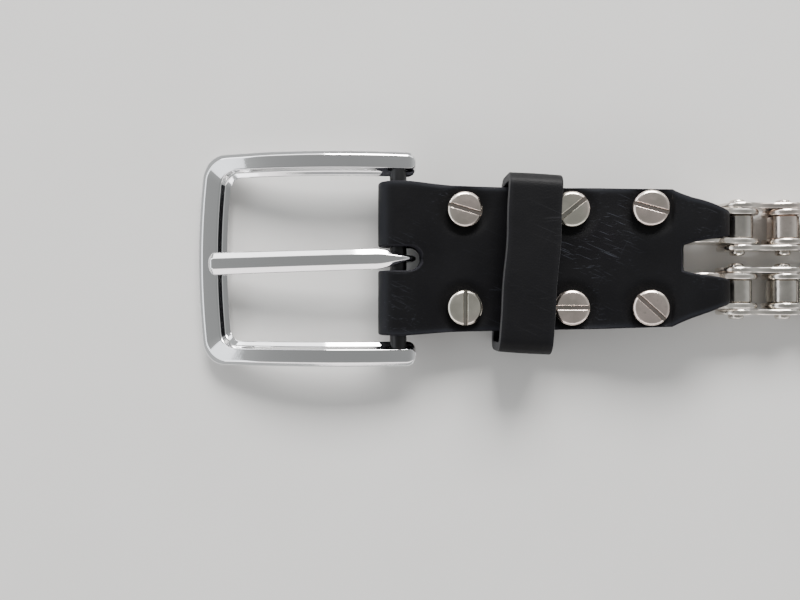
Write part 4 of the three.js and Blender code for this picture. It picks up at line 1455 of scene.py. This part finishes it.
    def hole_patch(self, line: SheetLine, centre: float) -> Surface:
        """Makes the leather between a square of the grid and the round hole in it.

        Each point of the square is joined to the point of the circle in the same direction,
        over the top, down the hole's wall and back under the sheet.

        Args:
            line: The sheet's middle line.
            centre: The hole's X.

        Returns:
            The patch, open along the square above and below.
        """
        side = np.linspace(-1, 1, self.patch_steps + 1)[:-1]
        sides = [np.stack([side, -np.ones_like(side)], axis=-1)]
        for _ in range(3):
            sides.append(sides[-1][:, ::-1] * np.array([-1, 1]))
        square = self.patch_half * np.concatenate(sides)
        circle = square / np.linalg.norm(square, axis=1, keepdims=True)
        half = self.leather / 2
        levels = [(part, out, half - depth) for part, out, depth in self.hole_rows]
        levels += [(part, out, -lift) for part, out, lift in levels[::-1]]
        upper = slice(line.x.argmin(), None)
        start = float(np.interp(centre, line.x[upper], line.s[upper]))
        stacked = []
        for part, out, lift in levels:
            plan = square * (1 - part) + circle * (self.hole_radius + out) * part
            stacked.append(line.at(start + plan[:, 0], plan[:, 1], lift))
        rings = np.stack(stacked)
        count = rings.shape[1]
        wall = np.repeat([1.0 if part == 1.0 else 0.0 for part, _, _ in levels], count)
        marks = {"press_and_painted_shade": 0 * wall, "rub_and_painted_highlight": self.hole_rub * wall, "cut": self.hole_cut * wall}
        faces = grid_faces(len(levels), count, close_columns=True)
        return Surface(rings.reshape(-1, 3), [faces], marks)

    def build(self, shop: Workshop) -> None:
        """Makes the strap as one piece.

        Args:
            shop: Makes the piece.
        """
        line = self.sheet_line()
        LOG.info("tail strap: %.1f mm of leather, laid flat", line.total)
        upper_from = line.s[line.x.argmin()]
        lines = np.linspace(-1, 1, self.patch_steps + 1) * self.patch_half
        patch_x = (self.holes()[:, None] + lines).ravel()
        round_x = self.tip_x(np.linspace(self.tip_arc, math.radians(3), 12))
        notch_x = [-past for past in self.notch_past]
        places = line.crossings([*notch_x, *self.shoulder_x, *self.taper_x(), *round_x, *patch_x])
        even = self.even_rows(line)
        flat = np.interp(even, line.s, line.x)
        in_patch = self.by_hole(flat, self.patch_half + self.patch_margin)
        rows = self.merged_rows(even[~(in_patch & (even > upper_from))], places)
        x = np.interp(rows, line.s, line.x)
        inner = np.interp(-x, self.notch_past, self.notch_half)
        in_hole = self.by_hole((x[:-1] + x[1:]) / 2, self.patch_half) & (rows[:-1] >= upper_from)
        inside = np.array(self.column_y)[1:] <= self.patch_half
        keep = ~(in_hole[:, None] & inside[None, :])
        over = (rows > upper_from) & (x < self.doubled_end)
        sheet = self.sheet(line, rows, inner, self.outer_edge(x), over, TAIL_SCREWS, keep)
        surface = joined([sheet] + [self.hole_patch(line, hole) for hole in self.holes()])
        moved = surface.moved(np.eye(3), np.array([self.start_x, 0, 0]))
        shop.piece("tail_strap_leather", moved, Slot.STRAP, Body.BELT, ["tail_strap"], LEATHER_ANGLE)


@dataclass
class Keeper:
    """The loop of leather round the strap: a band carried round a rounded rectangle."""

    x: float = 34.2
    y: float = -1.4
    width: float = 13.7
    length: float = 46.9
    height: float = 16.4
    wall: float = 2.4
    corner: float = 4.0
    turn: float = math.radians(-3.4)
    edge_radius: float = 0.35
    # How far the upper run dips at its middle, and how far its sides dip more
    crown: float = 0.1
    dish: float = 0.1
    rub_width: float = 1.0
    rub_strength: float = 0.3
    # Size, length and start of each of the two sines by which the band sways along X
    sines: tuple = ((0.16, 6.5, 0.6), (0.1, 2.9, 0.0))

    def path(self) -> Array:
        """Lays out the loop's middle line: a rectangle with round corners, sampled evenly.

        Returns:
            Y and Z along the loop.
        """
        half_y = (self.length - self.wall) / 2
        low, high = self.wall / 2, self.height - self.wall / 2
        r = self.corner - self.wall / 2
        quarter = r * directions(np.radians(np.linspace(0, 90, 14)))
        centres = ((half_y - r, high - r), (-half_y + r, high - r), (-half_y + r, low + r),
                   (half_y - r, low + r))
        turns = ((1, 0), (0, 1), (-1, 0), (0, -1))
        corners = [
            np.array(centre) + quarter @ np.array([[c, s], [-s, c]])
            for centre, (c, s) in zip(centres, turns)]
        line = []
        for i, part in enumerate(corners):
            following = corners[(i + 1) % 4]
            share = np.linspace(0, 1, 12 if i % 2 else 50)[1:-1, None]
            line += [part, part[-1] + (following[0] - part[-1]) * share]
        return np.concatenate(line)

    def section(self) -> Array:
        """Lays out the band's section: the wall by the width, with small round edges.

        Returns:
            Places across the band and through its wall, anticlockwise.
        """
        half_w, half_t = self.width / 2, self.wall / 2
        corners = np.array([(-half_w, -half_t), (half_w, -half_t), (half_w, half_t), (-half_w, half_t)])
        groups = np.split(rounded_corners(corners, self.edge_radius, 0.15), 4)
        fill = np.linspace(0, 1, 14)[1:-1, None]
        outline = []
        for i, group in enumerate(groups):
            outline.append(group)
            if i % 2 == 0:
                outline.append(group[-1] + (groups[i + 1][0] - group[-1]) * fill)
        return np.concatenate(outline)

    def surface(self) -> Surface:
        """Carries the band's section round the loop.

        The upper run sags at its middle and dips to its sides, and the band sways along X by
        two sines of Y. The two cut sides are marked.

        Returns:
            The band as one closed ring.
        """
        path = self.path()
        before, after = np.roll(path, 1, axis=0), np.roll(path, -1, axis=0)
        LOG.info("keeper: %.1f mm of leather, laid flat",
                 np.linalg.norm(path - before, axis=1).sum())
        tangent = (after - before) / np.linalg.norm(after - before, axis=1, keepdims=True)
        normal = np.stack([tangent[:, 1], -tangent[:, 0]], axis=-1)
        top = eased((path[:, 1] - self.height / 2) / 4)
        crown = self.crown * top * np.cos(path[:, 0] / (self.length - self.wall) * np.pi)
        across, up = self.section().T
        half_w, half_t = self.width / 2, self.wall / 2
        sway = sum(size * np.sin(path[:, 0] / length + start) for size, length, start in self.sines)
        dished = self.dish * (across / half_w) ** 2
        lift = up[None, :] - crown[:, None] - dished[None, :] * top[:, None]
        yz = path[:, None, :] + normal[:, None, :] * lift[..., None]
        x = across[None, :] + sway[:, None]
        rings = np.stack([x, yz[..., 0], yz[..., 1]], axis=-1)
        faces = grid_faces(len(path), len(across), close_rows=True, close_columns=True)
        cut = (np.abs(across) > half_w - 0.2) & (np.abs(up) < half_t - 0.05)
        edge = self.rub_strength * eased((np.abs(across) - half_w + self.rub_width) / 0.9)
        marks = {"press_and_painted_shade": 0 * across, "rub_and_painted_highlight": edge, "cut": cut.astype(float)}
        wide = {name: np.tile(values, len(path)) for name, values in marks.items()}
        return Surface(rings.reshape(-1, 3), [faces], wide)

    def build(self, shop: Workshop) -> None:
        """Makes the loop.

        Args:
            shop: Makes the piece.
        """
        loop = self.surface().moved(turn_about_z(self.turn), np.array([self.x, self.y, 0]))
        shop.piece("keeper_band", loop, Slot.KEEPER, Body.BELT, ["keeper_loop"], LEATHER_ANGLE)


@dataclass
class ScrewFastener:
    """A slotted screw in a post with a flat head behind the strap. Sizes are in millimetres."""

    radius: float = 4.65
    slot_half: float = 0.475
    slot_depth: float = 0.9
    # How strong the painted shade on the slot's floor is, and how far up its walls that reaches
    slot_painted_shade: float = 0.5
    slot_painted_shade_reach: float = 0.35
    wall_row: float = 0.4
    shank: float = 1.3
    shank_gap: float = 0.02
    foot: float = 3.25
    post_radius: float = 2.2
    post_gap: float = 0.5
    rear_radius: float = 3.9
    rear_height: float = 1.1
    # Radius and height over the rear head's face
    rear_rows: tuple = ((2.6, 0.0), (3.3, 0.08), (3.78, 0.3), (3.9, 0.55))
    arc_points: int = 22
    slot_points: int = 8
    # How far the edge draws in, how far the slot's edge draws back, and the height
    edge_rows: tuple = (
        (0.0, 0.0, 0.9), (0.0, 0.0, 1.2), (0.04, 0.0, 1.32), (0.14, 0.0, 1.43),
        (0.5, 0.07, 1.68), (0.8, 0.2, 1.78), (0.92, 0.28, 1.8))

    def half_ring(self, draw: float, back: float, height: float) -> Array:
        """Outlines one side of the slotted head: an arc, and the slot's edge straight back.

        Args:
            draw: How far the arc lies inside the head's radius.
            back: How far the straight side lies from the slot's wall.
            height: The outline's height.

        Returns:
            The points, anticlockwise.
        """
        radius = self.radius - draw
        start = math.asin((self.slot_half + back) / radius)
        arc = radius * directions(np.linspace(start, math.pi - start, self.arc_points))
        t = np.linspace(0, 1, self.slot_points + 2)[1:-1, None]
        outline = np.concatenate([arc, arc[-1] + (arc[0] - arc[-1]) * t])
        return np.column_stack([outline, np.full(len(outline), height)])

    def head(self) -> Surface:
        """Makes the head from its two sides, the slot's floor and the lower wall.

        Returns:
            The head as one closed surface, with its foot at height 0.
        """
        rings = np.stack([self.half_ring(*row) for row in self.edge_rows])
        count = rings.shape[1]
        cap = np.arange(count)[None, :] + (len(rings) - 1) * count
        wall = grid_faces(len(rings), count, close_columns=True)
        side = Surface(rings.reshape(-1, 3), [wall, cap])
        other = side.moved(turn_about_z(math.pi), np.zeros(3))
        base = self.half_ring(0, 0, self.slot_depth)
        start = math.asin(self.slot_half / self.radius)
        gap = self.radius * directions(np.linspace(-start, start, 4)[1:-1])
        ends = np.column_stack([gap, np.full(len(gap), self.slot_depth)])
        flip = np.array([-1, -1, 1])
        arc = base[: self.arc_points]
        loop = np.concatenate([arc, ends[::-1] * np.array([-1, 1, 1]), arc * flip, ends])
        floor_half = np.concatenate([base[self.arc_points - 1:], base[:1], ends[::-1]])
        floor_points = np.concatenate([floor_half, floor_half * flip])
        floor = Surface(floor_points, [np.arange(len(floor_points))[None, :]])
        bottom = loop * np.array([1, 1, 0])
        lower = np.stack([bottom, bottom + np.array([0, 0, self.wall_row]), loop])
        around = len(loop)
        wall_below = Surface(lower.reshape(-1, 3), [
            grid_faces(len(lower), around, close_columns=True), np.arange(around)[None, ::-1]])
        whole = joined([side, other, floor, wall_below])
        y, z = whole.points[:, 1], whole.points[:, 2]
        # Painted shade on the slot's floor and the foot of its walls
        near_floor = np.abs(z - self.slot_depth) < self.slot_painted_shade_reach
        groove = (np.abs(y) < self.slot_half + 0.01) & near_floor
        whole.marks["painted_shade"] = self.slot_painted_shade * groove
        return whole

    def shank_surface(self) -> Surface:
        """Makes the shank, down into the post.

        Returns:
            The shank as one closed surface, its top just under height 0.
        """
        low = -2 * self.foot + 1.0
        shank = lathe_surface([(self.shank, end) for end in (low, low / 2, -self.shank_gap)], 16)
        shank.marks["painted_shade"] = np.zeros(len(shank.points))
        return shank

    def post(self) -> Surface:
        """Makes the post with its flat rear head, its foot turned down, from the strap's middle.

        Returns:
            The post as one closed surface.
        """
        base = -self.foot
        rear = [(radius, base - self.rear_height + up) for radius, up in self.rear_rows]
        stem = [(self.rear_radius, base), (self.post_radius, base),
                (self.post_radius, self.foot - self.post_gap)]
        return lathe_surface(rear + stem, 32)

    def build(self, shop: Workshop, prefix: str, screws: tuple, middle: HeightCurve,
              origin: float) -> None:
        """Makes the screws and posts of one strap.

        Args:
            shop: Makes the pieces.
            prefix: The strap's name in the nodes.
            screws: Rows of X, side and the slot's turn in degrees.
            middle: The strap's middle height.
            origin: What the rows' X is counted from.
        """
        whole = joined([self.head(), self.shank_surface()])
        for i, (x, side, slot) in enumerate(screws, start=1):
            slope = turn_about_y(middle.slope(x))
            seat = np.array([origin + x, side * Strap.screw_y, float(middle(x))])
            lifted = seat + slope @ np.array([0, 0, self.foot])
            turned = slope @ turn_about_z(math.radians(slot))
            shop.piece(f"{prefix}_screw_head_{i}", whole.moved(turned, lifted), Slot.SCREW,
                       Body.BELT, [f"{prefix}_screw_{i}"])
            shop.piece(f"{prefix}_rear_post_{i}", self.post().moved(slope, seat), Slot.SCREW,
                       Body.BELT, [f"{prefix}_screw_post_{i}"])


@dataclass
class Chain:
    """Two strands of roller chain. Sizes are in millimetres."""

    pitch: float = 12.7
    links: int = 49
    strand_y: float = 8.55
    first_x: float = 79.5
    flat_height: float = 5.3
    last_height: float = 7.3
    lobe: float = 5.2
    waist: float = 3.9
    inner_plate: tuple = (3.2, 4.6)
    outer_plate: tuple = (4.9, 6.3)
    plate_bevel: tuple = (0.25, 0.42)
    pin_profile: tuple = (
        (1.1, -7.5), (1.6, -7.42), (1.9, -7.1), (1.95, -6.7), (1.8, -6.3),
        (1.8, 6.3), (1.95, 6.7), (1.9, 7.1), (1.6, 7.42), (1.1, 7.5))
    roller_profile: tuple = (
        (3.2, -3.2), (3.6, -3.12), (3.89, -2.8), (3.89, 2.8), (3.6, 3.12), (3.2, 3.2))
    runs: tuple = ((6, 14), (16, 24), (26, 34), (36, 44))
    strands: tuple = (("strand_a", 1, (10.5, 6.0)), ("strand_b", -1, (10.5, 5.6)))

    def pins(self, heights: tuple) -> Array:
        """Works out a strand's pins: each lies one pitch from the last at its own height.

        Args:
            heights: The first pins' heights.

        Returns:
            X and Z of each pin.
        """
        z = np.full(self.links + 1, self.flat_height)
        z[: len(heights)] = heights
        z[-1] = self.last_height
        run = np.sqrt(self.pitch**2 - np.diff(z) ** 2)
        x = self.first_x + np.concatenate([[0], np.cumsum(run)])
        return np.stack([x, z], axis=-1)

    def last_pin_x(self) -> float:
        """Gives the last roller's X."""
        return float(self.pins(self.strands[0][2])[-1, 0])

    def plate_outline(self, inset: float) -> Array:
        """Outlines a plate: a lobe round each pin, and hollow arcs that touch both lobes.

        The hollow arc's centre lies over the plate's middle, where its distance to a pin is
        the lobe's radius plus its own.

        Args:
            inset: How far the outline lies inside the plate's edge.

        Returns:
            X and Z, anticlockwise.
        """
        middle = self.pitch / 2
        rise = self.lobe - self.waist
        centre = (middle**2 - rise**2) / (2 * rise)
        hollow = centre - self.waist + inset
        touch = math.atan2(centre, middle)
        lobe_angle = np.linspace(-math.pi + touch, math.pi - touch, 15)
        right = np.array([self.pitch, 0]) + (self.lobe - inset) * directions(lobe_angle)
        arc = np.linspace(-touch, touch - math.pi, 7)[1:-1]
        top = np.array([middle, centre]) + hollow * directions(arc)
        half = np.concatenate([right, top])
        return np.concatenate([half, np.array([self.pitch, 0]) - half])

    def plate(self, low: float, high: float) -> Surface:
        """Makes a plate between two places across the strand, with bevels of about 30 degrees.

        Args:
            low: The plate's lower Y.
            high: The plate's higher Y.

        Returns:
            The plate, with the first pin at the origin.
        """
        draw, width = self.plate_bevel
        rings = []
        for inset, y in ((draw, low), (0, low + width), (0, high - width), (draw, high)):
            outline = self.plate_outline(inset)
            rings.append(np.column_stack([outline[:, 0], np.full(len(outline), y), outline[:, 1]]))
        return tube_surface(np.stack(rings))

    def link(self, inner: bool) -> Surface:
        """Makes one link: two plates with their rollers, or two plates with their pins.

        Args:
            inner: Whether it is a roller link.

        Returns:
            The link, with its first pin at the origin and its next one a pitch along X.
        """
        low, high = self.inner_plate if inner else self.outer_plate
        core = lathe_surface(list(self.roller_profile if inner else self.pin_profile), 20)
        core = core.moved(AXIS_Z_TO_Y, np.zeros(3))
        far = core.moved(np.eye(3), np.array([self.pitch, 0, 0]))
        return joined([self.plate(low, high), self.plate(-high, -low), core, far])

    def build(self, shop: Workshop) -> None:
        """Makes one piece for each of the chain's nodes.

        Args:
            shop: Makes the pieces.
        """
        templates = {True: self.link(True), False: self.link(False)}
        for name, side, heights in self.strands:
            pins = self.pins(heights)
            first = 1
            while first <= self.links:
                last = dict(self.runs).get(first, first)
                parts = []
                for number in range(first, last + 1):
                    start, end = pins[number - 1], pins[number]
                    turn = turn_about_y(math.atan2(end[1] - start[1], end[0] - start[0]))
                    shift = np.array([start[0], side * self.strand_y, start[1]])
                    parts.append(templates[number % 2 == 1].moved(turn, shift))
                single = f"{name}_link_{first:02d}"
                node = single if last == first else f"{name}_links_{first:02d}_{last:02d}"
                kind = single.replace("link", "roller_link" if first % 2 else "pin_link")
                title = kind if last == first else f"{name}_run_{first:02d}_{last:02d}"
                shop.piece(title, joined(parts), Slot.CHAIN, Body.BELT, [node])
                first = last + 1


@dataclass
class Studio:
    """The pale floor, the soft lights and the camera over the buckle. Sizes are in metres.

    A row of the lights is a name, the direction in degrees from +X towards +Y, the elevation
    in degrees, the width and height, the power in watts and the colour.
    """

    floor_size: float = 12.0
    light_distance: float = 3.0
    lights: tuple = (
        ("window_north", 92, 32, (1.6, 1.1), 150.0, (1.0, 0.98, 0.96)),
        ("wall_north", 95, 27, (7.0, 0.75), 49.0, (1.0, 1.0, 1.0)),
        ("wall_west", 180, 27, (5.0, 0.9), 24.0, (0.93, 0.96, 1.0)),
        ("wall_south", 270, 30, (7.0, 0.8), 35.0, (1.0, 0.93, 0.92)))
    # Sines of the elevations between which the walls fade into the ceiling, and both strengths
    wall_heights: tuple = (0.35, 0.98)
    wall_strengths: tuple = (0.6, 0.32)
    camera_x: float = 0.0005
    camera_y: float = -0.0109
    camera_z: float = 0.19
    lens: float = 30.71
    sensor: float = 36.0

    def build(self, heel_x: float) -> None:
        """Makes the floor, the lights, the world and the camera.

        Args:
            heel_x: The heel bar's X.
        """
        self.floor()
        self.camera(heel_x)
        for row in self.lights:
            self.light(*row)
        self.room()

    def room(self) -> None:
        """Makes the surround: pale walls that fade upwards into a dimmer ceiling."""
        world = bpy.data.worlds.new("room")
        world.use_nodes = True
        tree = world.node_tree
        background = tree.nodes["Background"]
        background.inputs["Color"].default_value = colour(0.96, 0.98, 0.97)
        place = tree.nodes.new("ShaderNodeTexCoord")
        split = tree.nodes.new("ShaderNodeSeparateXYZ")
        fade = tree.nodes.new("ShaderNodeMapRange")
        fade.interpolation_type = "SMOOTHSTEP"
        for socket, value in enumerate((*self.wall_heights, *self.wall_strengths), start=1):
            fade.inputs[socket].default_value = value
        tree.links.new(place.outputs["Generated"], split.inputs[0])
        tree.links.new(split.outputs["Z"], fade.inputs[0])
        tree.links.new(fade.outputs[0], background.inputs["Strength"])
        bpy.context.scene.world = world

    def floor(self) -> None:
        """Makes the floor as one flat sheet under the belt."""
        half = self.floor_size / 2
        mesh = bpy.data.meshes.new("floor")
        corners = [(-half, -half, 0), (half, -half, 0), (half, half, 0), (-half, half, 0)]
        mesh.from_pydata(corners, [], [(0, 1, 2, 3)])
        graph = NodeGraph("pale_floor")
        patches = graph.mixed(
            graph.noise(0.02, 3), colour(0.74, 0.735, 0.72), colour(0.8, 0.795, 0.785))
        mesh.materials.append(graph.shade({
            "Base Color": patches,
            "Roughness": 0.75,
            "Normal": graph.bump(graph.noise(1.1, 4), 0.02),
        }))
        floor = bpy.data.objects.new("floor", mesh)
        bpy.context.scene.collection.objects.link(floor)

    def light(self, name: str, azimuth: float, elevation: float, size: Span, power: float,
              tint: Triple) -> None:
        """Makes one soft area light that faces the belt's middle.

        Args:
            name: The light's name.
            azimuth: Its direction in degrees from +X towards +Y.
            elevation: Its height in degrees over the floor.
            size: Its width and height.
            power: Its power in watts.
            tint: Its colour.
        """
        data = bpy.data.lights.new(name, "AREA")
        data.shape = "RECTANGLE"
        data.size, data.size_y = size
        data.energy = power
        data.color = tint
        light = bpy.data.objects.new(name, data)
        turn, tilt = math.radians(azimuth), math.radians(elevation)
        away = np.array([
            math.cos(turn) * math.cos(tilt), math.sin(turn) * math.cos(tilt), math.sin(tilt)])
        light.location = tuple(self.light_distance * away)
        light.rotation_euler = (math.pi / 2 - tilt, 0, turn + math.pi / 2)
        bpy.context.scene.collection.objects.link(light)

    def camera(self, heel_x: float) -> None:
        """Makes the camera, straight over the buckle.

        Args:
            heel_x: The heel bar's X.
        """
        data = bpy.data.cameras.new("camera")
        data.sensor_fit = "HORIZONTAL"
        data.sensor_width = self.sensor
        data.lens = self.lens
        data.clip_start = 0.01
        camera = bpy.data.objects.new("camera", data)
        camera.location = (heel_x + self.camera_x, self.camera_y, self.camera_z)
        bpy.context.scene.collection.objects.link(camera)
        bpy.context.scene.camera = camera


def main() -> None:
    """Builds the belt, the floor, the lights and the camera."""
    logging.basicConfig(level=logging.INFO, format="%(name)s: %(message)s")
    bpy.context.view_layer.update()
    shop = Workshop()
    chain = Chain()
    front = FrontStrap()
    tail = TailStrap(start_x=chain.last_pin_x())
    Buckle().build(shop)
    front.build(shop)
    tail.build(shop)
    Keeper().build(shop)
    fastener = ScrewFastener()
    fastener.build(shop, "front", FRONT_SCREWS, front.middle, 0.0)
    fastener.build(shop, "tail", TAIL_SCREWS, tail.middle, tail.start_x)
    chain.build(shop)
    Studio().build(shop.heel_x)


if __name__ == "__main__":
    main()
